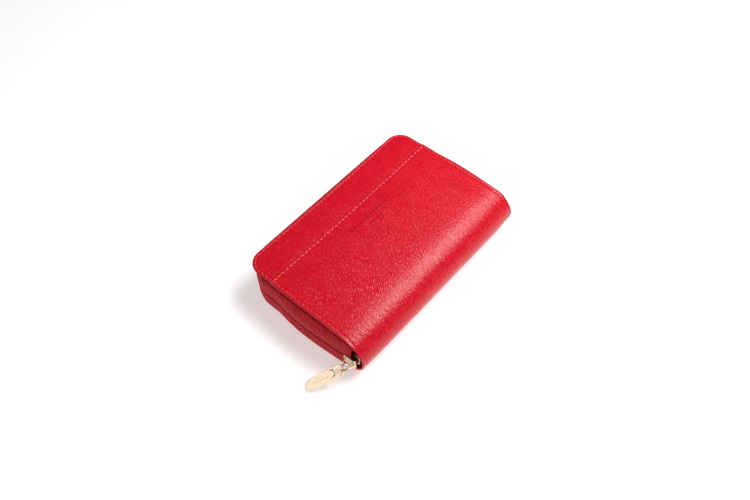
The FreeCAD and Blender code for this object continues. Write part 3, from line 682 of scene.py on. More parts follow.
# %% A turned-edge hide
def rim_profile(deepest, thick):
    """(inset, depth) pairs: in over the outer face, round the turned edge, back inside."""
    edge = thick / 2
    near = [6.5, 5.2, 4.2, 3.4, 2.9, 2.5, 2.2, 1.9, 1.6, 1.3, 1.0, 0.8]
    far = steps(deepest, 8 * MM, max(int(deepest / (1.6 * MM)), 3))
    outer = [(inset, 0.0) for inset in far + [n * MM for n in near if n * MM > edge]]
    turned = [(edge - edge * math.sin(a), edge - edge * math.cos(a)) for a in steps(0, math.pi, 11)]
    inner = [(inset, thick) for inset in (2 * MM, 5 * MM, 10 * MM, deepest)]
    return outer + turned + inner


def hide(name, start, stop, corner, deepest, top, thick=LEATHER, sink=0.0, half=HALF_LENGTH, dip=None):
    """A turned-edge hide as one net."""
    rows, rims = [], []
    for inset, depth in rim_profile(deepest, thick):
        row, rim = [], []
        for s, y in rim_ring(start, stop, corner, inset, half):
            lift = swell(inset, s, top) - (dip(s) if dip else 0.0)
            row.append(on_cover(s, y, sink + depth - lift * (1 - depth / thick), top))
            rim.append(hill(inset, 0.6 * MM))
        rows.append(row)
        rims.append(rim)
    return nets_piece(name, [rows], rims=[rims])


print("a hide's profile has %d rings" % len(rim_profile(HALF_LENGTH, LEATHER)))

# %% [markdown]
# The back cover is one plain hide. It bends with the back cover at one end and with the spine
# at the other, so it is blended between the two along the line where the roll starts.

# %% Back cover hide
ROLL_END = FLAT_RUN + HALF_ROLL
fold_from, fold_to = (ROLL_START, 0, 0), (SPINE_FACE, 0, MID)
back_hide = hide("back_cover_hide", 0.0, ROLL_END, CORNER + CORNER_EASE, HALF_LENGTH, top=False)
dress(back_hide, red_leather, "red_leather", "back_cover_leather", "spine_leather")
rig.blend(back_hide, "back_half", "spine", start=fold_from, end=fold_to)
print("back cover hide:", len(back_hide.data.vertices), "points")

# %% [markdown]
# The front cover is two hides. A narrow strip runs along the zip edge, a quarter of a millimetre
# lower, and the main panel's turned edge lies over it, held by a row of long pink stitches.

# %% Front cover: main panel
front_from, front_to = (SPINE_FACE, 0, MID), (ROLL_START, 0, THICK)
main_panel = hide("front_main_panel", SEAM_RUN, ROLL_END, 0.9 * MM, HALF_LENGTH, top=True)
dress(main_panel, marked_leather, "red_leather", "front_cover_leather", "spine_leather")
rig.blend(main_panel, "spine", "front_half", start=front_from, end=front_to)
print("front panel:", len(main_panel.data.vertices), "points")

# %% [markdown]
# The strip ends under the panel, and it sinks there, where the panel's stitches press it.

# %% Front cover: edge strip
STRIP_SINK = THICK - strip_box[1].z
STRIP_THICK = strip_box[1].z - strip_box[0].z


def under_panel(s):
    """The strip sinks where the panel's stitches press it."""
    return 0.1 * MM * ease((s - SEAM_RUN + 1.2 * MM) / (1.2 * MM))


STRIP_RUN = SEAM_RUN + 0.5 * MM
edge_strip = hide("front_edge_strip_hide", 0.0, STRIP_RUN, CORNER, STRIP_RUN, top=True, thick=STRIP_THICK,
                  sink=STRIP_SINK, half=HALF_LENGTH - 0.45 * MM, dip=under_panel)
dress(edge_strip, red_leather, "red_leather", "front_edge_strip")
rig.ride(edge_strip, "front_half")
print("edge strip:", len(edge_strip.data.vertices), "points")

# %% [markdown]
# ## Stitches
# A saddle stitch is a short arch of thread that dives into the leather at both ends. Each one
# is its own small tube, thick in the middle and thin at the holes, and leans a little, as hand
# and machine stitches both do. A row of them is one piece.

# %% One stitch, and a row of them
STITCH_PITCH = 3.0 * MM
STITCH_LEAN = 0.16


def stitch_net(middle, along, up, long, thick):
    """One arched stitch as a small tube."""
    side = along.cross(up).normalized()
    along = (along + side * STITCH_LEAN).normalized()
    side = along.cross(up).normalized()
    rows = []
    for t in steps(-1, 1, 9):
        centre = middle + along * (t * long / 2) + up * (0.5 * thick * (1 - t * t) - 0.42 * thick * t * t)
        radius = thick / 2 * math.sqrt(max(1 - 0.86 * t * t, 0.02))
        rows.append([centre + side * (radius * 1.25 * math.cos(a)) + up * (radius * math.sin(a))
                     for a in full_turn(8)])
    return rows


def stitch_row(name, spots, finish, body, long=2.15 * MM, thick=0.56 * MM):
    """A row of stitches; a spot is its middle, the way along and the way up."""
    nets = [stitch_net(middle, along, up, long, thick) for middle, along, up in spots]
    return riding(name, nets, finish, "red_leather", body)


def straight_spots(x, reach, z, up, count):
    """Spots on a straight line across the wallet."""
    return [(Vector((x, y, z)), ALONG, up) for y in steps(-reach, reach, count)]


print("stitches every %.1f mm" % (1000 * STITCH_PITCH))

# %% [markdown]
# Round the rim the stitches are spaced along the ring that lies under them: each piece of the
# ring is walked along, and a stitch is set wherever another pitch has gone by.

# %% Rim and seam stitches
def rim_spots(top):
    """Where the stitches sit round a cover's three free edges."""
    corner = CORNER if top else CORNER + CORNER_EASE
    line = rim_ring(0.0, FLAT_RUN - 1.5 * MM, corner, STITCH_INSET, HALF_LENGTH, 60, 90, 14)
    spots, gone, want = [], 0.0, STITCH_PITCH / 2
    for (s0, y0), (s1, y1) in zip(line, line[1:]):
        run = math.hypot(s1 - s0, y1 - y0)
        while run > 0 and gone + run >= want:
            t = (want - gone) / run
            s, y = s0 + (s1 - s0) * t, y0 + (y1 - y0) * t
            sink = STRIP_SINK if top and s < SEAM_RUN else 0.0
            depth = sink - swell(STITCH_INSET, s, top)
            a, b = on_cover(s0, y0, depth, top), on_cover(s1, y1, depth, top)
            spots.append((a.lerp(b, t), (b - a).normalized(), UP if top else -UP))
            want += STITCH_PITCH
        gone += run
    return spots


front_spots = rim_spots(True)
stitch_row("front_edge_stitches", front_spots, edge_thread, "front_half")
stitch_row("back_edge_stitches", rim_spots(False), edge_thread, "back_half")
seam_line = SEAM_RUN + STITCH_INSET
seam_spots = [(on_cover(seam_line, y, -swell(STITCH_INSET, seam_line, True), True), ALONG, UP)
              for y in steps(-HALF_LENGTH + 3.4 * MM, HALF_LENGTH - 3.4 * MM, 43)]
stitch_row("front_seam_stitches", seam_spots, seam_thread, "front_half", long=1.9 * MM, thick=0.66 * MM)
print("stitches: %d round the front cover, %d on the seam" % (len(front_spots), len(seam_spots)))

# %% [markdown]
# ## The zip tapes
# The zip is a reversed coil zip: its turns are inside and only the tape shows. Each tape comes
# out from under a cover's turned edge, bellies outwards and ends in a soft rolled lip, and the
# two lips meet in a thin dark line at half height. A section is swept round the cover's outline.
# The closed zip bows out along each short end, but only past the slider's way, and is drawn in
# a little at the corners.

# %% Stations along the zip
ZIP_END = tape_box[1].x
SIDE_BOW = 1.7 * MM         # how far the closed zip bows out halfway along an end
BOW_START = 0.14            # the share of an end, next to the corner, that the slider may reach
CORNER_DRAW = 0.7 * MM      # how far the zip is drawn in at a corner
ZIP_CORNER = CORNER + CORNER_EASE


def zip_stations(end_x, spacing=1.6 * MM):
    """(place, outward direction, way gone, bow) along the covers' outline, from end to end."""
    low = Vector((ZIP_EDGE + ZIP_CORNER, -HALF_LENGTH + ZIP_CORNER, 0))
    line = []
    for x in steps(end_x, low.x, int((end_x - low.x) / spacing)):
        share = max((x - low.x) / (end_x - low.x) - BOW_START, 0.0) / (1 - BOW_START)
        bow = SIDE_BOW * max(1 - (2 * share ** 0.75 - 1) ** 2, 0.0) ** 1.5
        line.append((Vector((x, -HALF_LENGTH, 0)), Vector((0, -1, 0)), bow))
    for a in steps(0, math.pi / 2, 14)[1:-1]:
        out = Vector((-math.sin(a), -math.cos(a), 0))
        line.append((low + out * ZIP_CORNER, out, -CORNER_DRAW * math.sin(2 * a)))
    for y in steps(low.y, -low.y, 66):
        line.append((Vector((ZIP_EDGE, y, 0)), Vector((-1, 0, 0)), 0.0))
    mirrored = [(Vector((p.x, -p.y, 0)), Vector((n.x, -n.y, 0)), bow) for p, n, bow in line]
    line += [m for i, m in reversed(list(enumerate(mirrored))) if m[1].x != -1]
    stations, gone = [], 0.0
    for index, (place, out, bow) in enumerate(line):
        if index:
            gone += (place - line[index - 1][0]).length
        stations.append((place, out, gone, bow))
    return stations


ZIP_RUN = zip_stations(ZIP_END)[-1][2]
print("zip runs %.0f mm" % (1000 * ZIP_RUN))

# %% [markdown]
# A tape's section is drawn with a few points and a smooth curve through them: out from the foot
# along the face, round the lip, and down the back. Where the cover rolls round the spine the
# tape's foot has to climb, to stay inside the leather.

# %% Smooth lines and the tapes
TAPE_OUT = -HALF_LENGTH - tape_box[0].y
TAPE_LIP = MID - 0.55 * MM
TAPE_THICK = 0.65 * MM


def smooth_line(points, per=5):
    """Points on a smooth curve through a few given ones (Catmull-Rom)."""
    ends = [points[0]] + list(points) + [points[-1]]
    line = []
    for p0, p1, p2, p3 in zip(ends, ends[1:], ends[2:], ends[3:]):
        for i in range(per):
            t = i / per
            line.append(tuple(
                0.5 * (2 * b + (c - a) * t + (2 * a - 5 * b + 4 * c - d) * t * t
                       + (3 * b - a - 3 * c + d) * t ** 3)
                for a, b, c, d in zip(p0, p1, p2, p3)))
    return line + [tuple(points[-1])]


def tape_section(bow):
    """(outward, height) of the lower tape, from under the leather, round the lip and back."""
    face, up = TAPE_OUT + max(bow, 0.0), LEATHER
    belly = 0.25 * max(bow, 0.0)
    back = face - TAPE_THICK
    section = [
        (-2.8 * MM, up + 0.05 * MM), (0.1 * MM, up + 0.3 * MM), (face * 0.62 + belly * 0.4, up + 1.2 * MM),
        (face * 0.88 + belly * 0.8, up + 2.8 * MM), (face * 0.97 + belly, up + 4.7 * MM),
        (face + belly, up + 6.6 * MM), (face + belly * 0.3, up + 8.2 * MM), (face, up + 9.6 * MM),
        (face, TAPE_LIP - 0.7 * MM), (face - 0.22 * MM, TAPE_LIP - 0.10 * MM), (face - 0.45 * MM, TAPE_LIP),
        (back, TAPE_LIP - 0.4 * MM), (back, up + 9.6 * MM), (back + belly * 0.3, up + 8.2 * MM),
        (back + belly, up + 6.6 * MM), (back * 0.92 + belly, up + 5.2 * MM),
        (back * 0.55 + belly * 0.8, up + 3.8 * MM), (back * 0.05 + belly * 0.4, up + 2.5 * MM),
        (-1.0 * MM, up + 1.2 * MM), (-2.8 * MM, up + 0.6 * MM),
    ]
    return [(outward + min(bow, 0.0), z) for outward, z in section]


def follow_roll(x, z):
    """Beyond the roll's start the tape's foot climbs inside the rolled leather."""
    inside = MID - LEATHER
    reach = min(max(x - ROLL_START, 0.0), 0.9 * inside)
    foot = MID - math.sqrt(inside ** 2 - reach ** 2)
    return foot + (z - LEATHER) * (MID - foot) / (MID - LEATHER)


def tape(name, top, body, node):
    rows, lay = [], []
    for place, out, gone, bow in zip_stations(ZIP_END):
        row, spread, high = [], [], 0.0
        section = smooth_line(tape_section(bow), 4)
        for index, (outward, z) in enumerate(section):
            if index:
                high += math.dist(section[index], section[index - 1])
            point = place + out * outward
            z = follow_roll(point.x, z)
            row.append((point.x, point.y, THICK - z if top else z))
            spread.append((gone, high))
        rows.append(row)
        lay.append(spread)
    return riding(name, [rows], tape_cloth, "zip_tape", body, node, lay=[lay])


tape("lower_zip_tape_twill", False, "back_half", "lower_zip_tape")
tape("upper_zip_tape_twill", True, "front_half", "upper_zip_tape")
print("tapes stand %.1f mm out" % (1000 * TAPE_OUT))

# %% [markdown]
# ## The zip's coils and stops
# A coil is one nylon thread wound into flat turns and sewn to the tape's inside. A wire's line
# is worked out as an oval winding round a centre that runs along the tape, and a small round
# section is carried along that line. Metal stops end both coils.

# %% Coils
COIL_PITCH = 1.3 * MM


def tube_rows(points, radius, sides=6):
    """Rings of points round a line, kept from twisting."""
    rows, before = [], None
    for index, point in enumerate(points):
        ahead = points[min(index + 1, len(points) - 1)] - points[max(index - 1, 0)]
        ahead.normalize()
        if before is None:
            before = ahead.orthogonal().normalized()
        before = (before - ahead * before.dot(ahead)).normalized()
        side = ahead.cross(before)
        rows.append([point + (before * math.cos(a) + side * math.sin(a)) * radius
                     for a in full_turn(sides)])
    return rows


def coil(name, body, node):
    low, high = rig.box(node)
    wire = 0.24 * MM
    reach = (-HALF_LENGTH - low.y) - TAPE_THICK
    middle_z = (low.z + high.z) / 2
    tall = (high.z - low.z) / 2 - wire
    deep = TAPE_THICK - wire
    stations = zip_stations(high.x, 1.0 * MM)
    turns = int(stations[-1][2] / COIL_PITCH)
    points, at = [], 0
    for step in range(turns * 8 + 1):
        want = stations[-1][2] * step / (turns * 8)
        while at < len(stations) - 2 and stations[at + 1][2] < want:
            at += 1
        a, b = stations[at], stations[at + 1]
        share = (want - a[2]) / max(b[2] - a[2], 1e-9)
        place, out = a[0].lerp(b[0], share), a[1].lerp(b[1], share).normalized()
        bow = a[3] + (b[3] - a[3]) * share
        angle = step * math.pi / 4
        spot = place + out * (reach + bow + deep * math.cos(angle))
        points.append(Vector((spot.x, spot.y, middle_z + tall * math.sin(angle))))
    return riding(name, [tube_rows(points, wire)], nylon, "zip_coil", body, node)


lower_coil = coil("lower_zip_coil_turns", "back_half", "lower_zip_coil")
coil("upper_zip_coil_turns", "front_half", "upper_zip_coil")
print("coils:", len(lower_coil.data.vertices), "points each")

# %% [markdown]
# ## Cast metal parts
# The slider's plates, the stops and the tag are flat castings with softened rims. An outline
# is given as a test, inside or outside, and rays from its middle find the rim, so any convex
# shape works. Rings of the outline, moved in and up, then form the flat faces and the bevels.

# %% Outlines found by rays, and bevelled plates
def ray_outline(inside, centre, longest):
    """The rim of a convex shape: for each ray from the centre, the last point inside."""
    rim = []
    for angle in full_turn(72):
        way = (math.cos(angle), math.sin(angle))
        near, far = 0.0, longest
        for _ in range(26):
            half = (near + far) / 2
            if inside(centre[0] + way[0] * half, centre[1] + way[1] * half):
                near = half
            else:
                far = half
        rim.append((centre[0] + way[0] * near, centre[1] + way[1] * near))
    return rim


def bevelled_rows(shape, centre, longest, thick, bevel, place, hole=None):
    """Rings of a plate: shape(inset) gives the outline's test and place(u, v, w) a point in space."""
    half = thick / 2
    bends = [(bevel * (1 - math.sin(a)), half - bevel * (1 - math.cos(a))) for a in steps(0, math.pi / 2, 5)]
    upper = [(bevel * 3.0, half)] + bends
    profile = upper + [(inset, -height) for inset, height in reversed(upper)]
    rows = [[place(u, v, w) for u, v in ray_outline(shape(inset), centre, longest)] for inset, w in profile]
    if hole:
        lip = bevel * 0.7
        edges = [(0.0, half - lip), (lip, half), (lip, -half), (0.0, -half + lip)]
        top = [[place(u, v, w) for u, v in ray_outline(hole(grow), centre, longest)] for grow, w in edges]
        return top[:2] + rows + top[2:]
    tip, toe = [[place(*centre, height)] * len(rows[0]) for height in (half, -half)]
    return [tip] + rows + [toe]


def round_box(u, v, half_u, half_v, nose):
    """Whether (u, v) lies in a box whose corners are rounded by nose."""
    over_u, over_v = abs(u) - (half_u - nose), abs(v) - (half_v - nose)
    if over_u > 0 and over_v > 0:
        return math.hypot(over_u, over_v) <= nose
    return max(over_u, over_v) <= nose


square = ray_outline(lambda u, v: round_box(u, v, 1, 1, 0.1), (0, 0), 3)
print("a square of 2 is found %.2f wide" % (2 * max(u for u, v in square)))

# %% [markdown]
# The slider has an outer and an inner plate with the tapes between them, a wedge that parts the
# coils, and on the outside an arched bridge that holds the ring. Its shoulders are wide where
# the open tapes enter, and it narrows to where they leave it closed.

# %% The slider's plates
slider_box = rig.box("zip_slider_body")
PLATE = 0.85 * MM
SLIDER_MID_X = (slider_box[0].x + slider_box[1].x) / 2
SLIDER_HALF = (slider_box[1].x - slider_box[0].x) / 2
SLIDER_TALL = (slider_box[1].z - slider_box[0].z) / 2
INNER_FACE = slider_box[1].y
OUTER_FACE = -HALF_LENGTH - TAPE_OUT - 0.25 * MM


def slider_shape(inset):
    """Inside the shield outline: u along the zip, v up, both from the slider's middle."""
    def inside(u, v):
        share = (u + SLIDER_HALF) / (2 * SLIDER_HALF)
        tall = SLIDER_TALL * (0.80 + 0.20 * ease(share * 1.6))
        return round_box(u, v, SLIDER_HALF - inset, tall - inset, 0.9 * MM)
    return inside


def slider_plate(y):
    def place(u, v, w):
        return (SLIDER_MID_X + u, y - w, MID + v)
    return bevelled_rows(slider_shape, (0, 0), 9 * MM, PLATE, 0.24 * MM, place)


print("slider %.1f mm long" % (2000 * SLIDER_HALF))

# %% [markdown]
# The bridge and the wedge are straps: a flat bar with soft edges, carried along a line. The
# bridge's line is the same on both sides of the slider's middle.

# %% The slider's bridge and wedge
def strap_rows(points, across, wide, thick):
    """A flat strap with round edges, carried along a line; across is its width's direction."""
    rows = []
    for index, point in enumerate(points):
        ahead = (points[min(index + 1, len(points) - 1)] - points[max(index - 1, 0)]).normalized()
        up = ahead.cross(across).normalized()
        row = []
        for a in full_turn(20):
            c, d = math.cos(a), math.sin(a)
            row.append(point + across * (wide / 2 * math.copysign(abs(c) ** 0.5, c))
                       + up * (thick / 2 * math.copysign(abs(d) ** 0.7, d)))
        rows.append(row)
    ends = [[points[i]] * len(rows[0]) for i in (0, -1)]
    return [ends[0]] + rows + [ends[1]]


bridge_y = slider_box[0].y
arch = [(3.0 * MM, OUTER_FACE + 0.1 * MM), (3.1 * MM, OUTER_FACE - 1.3 * MM),
        (2.4 * MM, bridge_y + 0.55 * MM), (0.9 * MM, bridge_y + 0.36 * MM)]
bridge_line = smooth_line([(SLIDER_MID_X - way, y) for way, y in arch]
                          + [(SLIDER_MID_X + way, y) for way, y in reversed(arch)])
bridge = strap_rows([Vector((x, y, MID)) for x, y in bridge_line], UP, 1.7 * MM, 0.7 * MM)
wedge = strap_rows([Vector((slider_box[1].x - 1.5 * MM, y, MID)) for y in
                    steps(OUTER_FACE - 0.1 * MM, INNER_FACE - 0.5 * MM, 4)],
                   Vector((1, 0, 0)), 2.9 * MM, 0.5 * MM)
riding("main_slider", [slider_plate(OUTER_FACE - PLATE / 2), slider_plate(INNER_FACE - PLATE / 2), bridge,
                       wedge], gold, "zip_metal", "zip_slider", "zip_slider_body")
print("bridge stands %.1f mm out" % (1000 * (OUTER_FACE - bridge_y)))

# %% [markdown]
# The ring is bent from round wire and closed with a butt joint, which shows as a fine gap. It
# passes through the bridge and through the tag's slot, so its place is the solid ring's place.

# %% Pull ring
ring_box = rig.box("puller_ring")
RING_WIRE = 0.55 * MM
RING_MIDDLE = (ring_box[0] + ring_box[1]) / 2
RING_RADIUS = (ring_box[1].z - ring_box[0].z) / 2 - RING_WIRE
RING_TURN = math.radians(30)
RING_AXIS = Vector((math.cos(RING_TURN), -math.sin(RING_TURN), 0))
JOINT_FROM, JOINT_TO = math.radians(-128), math.radians(228)
ring_out = UP.cross(RING_AXIS).normalized()
ring_rows = []
for angle in steps(JOINT_FROM, JOINT_TO, 73):
    out = ring_out * math.cos(angle) + UP * math.sin(angle)
    wire = RING_WIRE * (1 - 0.25 * hill(min(angle - JOINT_FROM, JOINT_TO - angle), 0.03))
    spot = RING_MIDDLE + out * RING_RADIUS
    ring_rows.append([spot + out * (wire * math.cos(a)) + RING_AXIS * (wire * math.sin(a))
                      for a in full_turn(16)])
riding("pull_ring", [capped(ring_rows)], gold, "zip_metal", "ring", "puller_ring")
print("ring %.1f mm across" % (2000 * (RING_RADIUS + RING_WIRE)))

# %% [markdown]
# The tag is a long cast plate with a slot for the ring, a tapered neck, chamfered rims and a
# round tip that all but rests on the table. It hangs at an angle, so its own three directions
# are found first: across from the joint's axis, and along from the solid's farthest points.

# %% The tag's place
tag_mesh = frame["nodes"]["puller_tag"].data
tag_joint = [j for j in frame["joints"] if j["name"] == "tag_swing"][0]
TAG_BAR = Vector(tag_joint["pos_m"])
TAG_ACROSS = Vector(tag_joint["axis"]).normalized()
far_points = sorted((v.co - TAG_BAR for v in tag_mesh.vertices), key=lambda way: way.length)[-12:]
tag_way = sum(far_points, Vector())
TAG_ALONG = (tag_way - TAG_ACROSS * tag_way.dot(TAG_ACROSS)).normalized()
TAG_UP = TAG_ALONG.cross(TAG_ACROSS).normalized()
if TAG_UP.z < 0:
    TAG_UP = -TAG_UP
spans = [[(v.co - TAG_BAR).dot(way) for v in tag_mesh.vertices] for way in (TAG_ALONG, TAG_ACROSS, TAG_UP)]
TAG_START, TAG_END = min(spans[0]), max(spans[0])
TAG_WIDE = max(spans[1]) - min(spans[1])
TAG_THICK = max(spans[2]) - min(spans[2])


def tag_place(u, v, w):
    """A point of the tag: u along it from the ring, v across and w up from its middle."""
    return TAG_BAR + TAG_ALONG * u + TAG_ACROSS * v + TAG_UP * w


print("tag %.1f mm long" % (1000 * (TAG_END - TAG_START)))

# %% [markdown]
# The plate's outline and its slot are both given as tests, and the rings between them close
# from the slot's lower rim to its upper one.

# %% Pull tag
NECK = 1.6 * MM
NECK_LONG = 2.2 * MM
SLOT_FROM, SLOT_LONG, SLOT_WIDE = 0.6 * MM, 4.4 * MM, 3.6 * MM
SLOT_MIDDLE = SLOT_FROM + SLOT_LONG / 2


def tag_shape(inset):
    def inside(u, v):
        side = TAG_WIDE / 2 - inset
        if u < TAG_START + inset or u > TAG_END - inset or abs(v) > side:
            return False
        narrow = side - NECK * max(0.0, 1 - (u - TAG_START) / NECK_LONG)
        tip = u - (TAG_END - inset - side)
        return abs(v) <= narrow and (tip < 0 or math.hypot(tip, v) <= side)
    return inside


def slot_shape(grow):
    return lambda u, v: round_box(u - SLOT_MIDDLE, v, SLOT_LONG / 2 + grow, SLOT_WIDE / 2 + grow, 0.6 * MM)


tag_rows = bevelled_rows(tag_shape, (SLOT_MIDDLE, 0), 30 * MM, TAG_THICK, 0.28 * MM, tag_place, slot_shape)
tag = riding("pull_tag", [tag_rows], gold, "zip_metal", "tag", "puller_tag", loop=True)
tag.data.set_sharp_from_angle(angle=math.radians(40))
print("tag: %d points" % len(tag.data.vertices))

# %% [markdown]
# Two rows of small dashes stand for the tag's engraved marking. They are short dark bars that
# lie across the tag, sunk to their middles.

# %% Engraved dashes
dashes = []
for line, first, count, long in ((0.55 * MM, 8.6 * MM, 9, 0.75 * MM), (-0.95 * MM, 12.0 * MM, 4, 0.6 * MM)):
    for index in range(count):
        middle = tag_place(first + index * 1.15 * MM, line, TAG_THICK / 2 - 0.02 * MM)
        dashes.append(tube_rows([middle + TAG_ACROSS * (t * long / 2) for t in (-1, 0, 1)], 0.14 * MM))
riding("tag_engraved_dashes", dashes, engraved, "zip_metal", "tag")
print("%d dashes" % len(dashes))

# %% [markdown]
# Each coil ends in a small metal stop, pinched on like a staple: a cushion-shaped block.

# %% Coil stops
STOP_DEEP = 1.3 * MM


def stop_rows(low, high):
    middle = [(a + b) / 2 for a, b in zip(low, high)]
    long, deep, tall = [(b - a) / 2 for a, b in zip(low, high)]

    def shape(inset):
        return lambda u, v: ((abs(u) / (long - inset)) ** 4 + (abs(v) / (deep - inset)) ** 4) <= 1

    def place(u, v, w):
        return (middle[0] + u, middle[1] + v, middle[2] + w)

    return bevelled_rows(shape, (0, 0), 3 * MM, 2 * tall, 0.25 * MM, place)


for part, body in (("lower", "back_half"), ("upper", "front_half")):
    low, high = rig.box(part + "_zip_stops")
    nets = [stop_rows(low, (high.x, low.y + STOP_DEEP, high.z)),
            stop_rows((low.x, high.y - STOP_DEEP, low.z), high)]
    riding(part + "_coil_stops", nets, gold, "zip_metal", body, part + "_zip_stops")
print("stops pinched on")

# %% [markdown]
# ## Inside: lining, spine foam and boards
# The lining is one cloth from the zip edge of each cover to the middle of the spine. It lies
# flat on the board, dips into the roll and stands against the spine's foam, and it bends with
# the cover. The low ridge near its edge is where the cloth is turned under and glued.

# %% Linings
LINING_TOP = lining_box[1].z
SPINE_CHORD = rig.box("spine_lining")[0].x
lining_corner = ZIP_CORNER - (lining_box[0].x - ZIP_EDGE)


def lining_line():
    """(x, z) of the lower lining's inner face, from the zip side to the spine's middle."""
    flat = [(x, LINING_TOP) for x in steps(lining_box[0].x, lining_box[1].x - 1 * MM, 40)]
    dip = smooth_line([(lining_box[1].x, LINING_TOP), (ROLL_START + 3.2 * MM, LINING_TOP + 0.15 * MM),
                       (SPINE_CHORD - 1.6 * MM, LINING_TOP + 1.4 * MM),
                       (SPINE_CHORD + 0.05 * MM, LINING_TOP + 3.4 * MM),
                       (SPINE_CHORD + 0.05 * MM, MID)], 8)
    return flat + dip


def lining(name, top, bodies, nodes):
    half, rows = lining_box[1].y, []
    for x, z in lining_line():
        inset = max(lining_corner - (x - lining_box[0].x), 0.0)
        reach = half - lining_corner + math.sqrt(max(lining_corner ** 2 - inset ** 2, 0.0))
        reach -= 1.9 * MM * ease((x - lining_box[1].x) / (6 * MM))
        face = [(x, y, z + 0.10 * MM * hill(abs(y) - reach + 1.2 * MM, 0.5 * MM))
                for y in steps(-reach, reach, 90)]
        shift = 0.3 * MM if x > SPINE_CHORD - 1 * MM else 0
        back = [(x + shift, y, z - 0.35 * MM) for x, y, z in reversed(face)]
        rows.append([Vector((x, y, THICK - z if top else z)) for x, y, z in face + back])
    piece = dress(nets_piece(name, [rows], ring=True), lining_cloth, "lining_cloth", *nodes)
    start, end = (front_to, front_from) if top else (fold_from, fold_to)
    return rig.blend(piece, bodies[0], bodies[1], start=start, end=end)


lining("back_lining_cloth", False, ("back_half", "spine"), ("back_lining", "spine_lining"))
lining("front_lining_cloth", True, ("front_half", "spine"), ("front_lining", "spine_lining"))
print("linings glued down")

# %% [markdown]
# The foam is a D-shaped bar that keeps the spine round. The stiff boards are hidden between the
# leather and the cloth, so their solids stay as they are, with a board finish.

# %% Spine foam and boards
padding_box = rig.box("spine_padding")
foam_radius = padding_box[1].x - ROLL_START
foam_half = padding_box[1].y
face = padding_box[0].x - ROLL_START + 0.3 * MM
widest = math.acos(face / foam_radius)
foam_rows = []
for y in steps(-foam_half, foam_half, 50):
    radius = foam_radius * (1 - 0.06 * hill(abs(y) - foam_half, 1.4 * MM))
    arc = [(radius * math.cos(a), radius * math.sin(a)) for a in steps(-widest, widest, 24)]
    chord = [(face, arc[-1][1] * t) for t in steps(0.92, -0.92, 10)]
    foam_rows.append([Vector((ROLL_START + u, y, MID + v)) for u, v in arc + chord])
spine_foam = riding("spine_foam", [capped(foam_rows)], foam, "padding", "spine", "spine_padding")
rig.padded(spine_foam, fill=0.9)
for name in ("back_board", "front_board"):
    solid = frame["nodes"][name]
    solid.data.materials.clear()
    solid.data.materials.append(board)
print("foam %.0f mm long, boards in place" % (2000 * foam_half))

# %% [markdown]
# ## Inside: card leaves
# Each cover holds three leather leaves, stepped like a hand of cards, so that every card's top
# edge shows. A leaf is a thin slab with rounded free corners, a painted round edge, a shallow
# thumb notch in the middle and one row of stitches along the free edge.
# A slab is a row of sections across the wallet; each section is a flat loop with round ends.

# %% Soft slabs
NOTCH_WIDE = 9 * MM


def slab_rows(x0, x1, half, z0, z1, corner, notch=0.0):
    """Sections from one side to the other; notch is how deep the thumb cut is."""
    thick, middle = z1 - z0, (z0 + z1) / 2
    rows = []
    for y in steps(-half, half, 80):
        over = max(abs(y) - (half - corner), 0.0)
        start = x0 + corner - math.sqrt(max(corner ** 2 - over ** 2, 0.0))
        start += notch * hill(y, NOTCH_WIDE)
        edge = thick / 2 * (1 - 0.25 * hill(half - abs(y), 0.35 * MM))
        row = []
        for a in steps(math.pi / 2, 3 * math.pi / 2, 7):
            row.append(Vector((start + edge + edge * math.cos(a), y, middle + edge * math.sin(a))))
        for x in steps(start + 1.2 * MM, x1 - 0.6 * MM, 12):
            row.append(Vector((x, y, middle - edge)))
        for a in steps(-math.pi / 2, math.pi / 2, 5):
            row.append(Vector((x1 - edge + edge * math.cos(a), y, middle + edge * math.sin(a))))
        for x in steps(x1 - 0.6 * MM, start + 1.2 * MM, 12):
            row.append(Vector((x, y, middle + edge)))
        rows.append(row)
    return capped(rows)


def slab(node, body, corner, notch=0.0):
    """A leather slab in a solid's place; gives its box."""
    low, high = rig.box(node)
    rows = slab_rows(low.x, high.x, high.y, low.z, high.z, corner, notch)
    riding(node + "_leather", [rows], inner_leather, "card_leather", body, node)
    return low, high


print("soft slabs can be cut")

# %% [markdown]
# The leaves' stitches follow the free edge, so at the thumb notch each stitch turns with it.

# %% Card leaves
NOTCH = 2.2 * MM
INNER_STITCH = {"long": 1.7 * MM, "thick": 0.3 * MM}

for cover, body, up in (("back", "back_half", UP), ("front", "front_half", -UP)):
    for level in ("outer", "middle", "inner"):
        node = "%s_card_leaf_%s" % (cover, level)
        low, high = slab(node, body, 2.0 * MM, NOTCH)
        spots = []
        for y in steps(2.4 * MM - high.y, high.y - 2.4 * MM, 34):
            notch = NOTCH * hill(y, NOTCH_WIDE)
            slope = -2 * y / NOTCH_WIDE ** 2 * notch
            spot = Vector((low.x + 1.9 * MM + notch, y, high.z if up.z > 0 else low.z))
            spots.append((spot, Vector((slope, 1, 0)).normalized(), up))
        stitch_row(node + "_stitches", spots, edge_thread, body, **INNER_STITCH)
print("six card leaves, %d stitches on each" % len(spots))

# %% [markdown]
# ## Inside: the coin pocket
# A flat pocket stands between the two fans of leaves, sewn to the spine. Two leather walls with
# turned edges are joined by soft side strips, and a small zip closes the mouth.

# %% Pocket walls
for level, up in (("lower", -UP), ("upper", UP)):
    node = "coin_pocket_%s_wall" % level
    low, high = slab(node, "spine", 1.5 * MM)
    spots = straight_spots(low.x + 1.7 * MM, high.y - 2.6 * MM, high.z if up.z > 0 else low.z, up, 42)
    stitch_row(node + "_stitches", spots, edge_thread, "spine", **INNER_STITCH)
print("pocket walls %.0f mm wide" % (1000 * (high.y - low.y)))

# %% [markdown]
# The side strips are soft cloth. Each is folded a little inwards along its middle, so that the
# pocket can open, and lies flat again at both ends, where it is sewn.

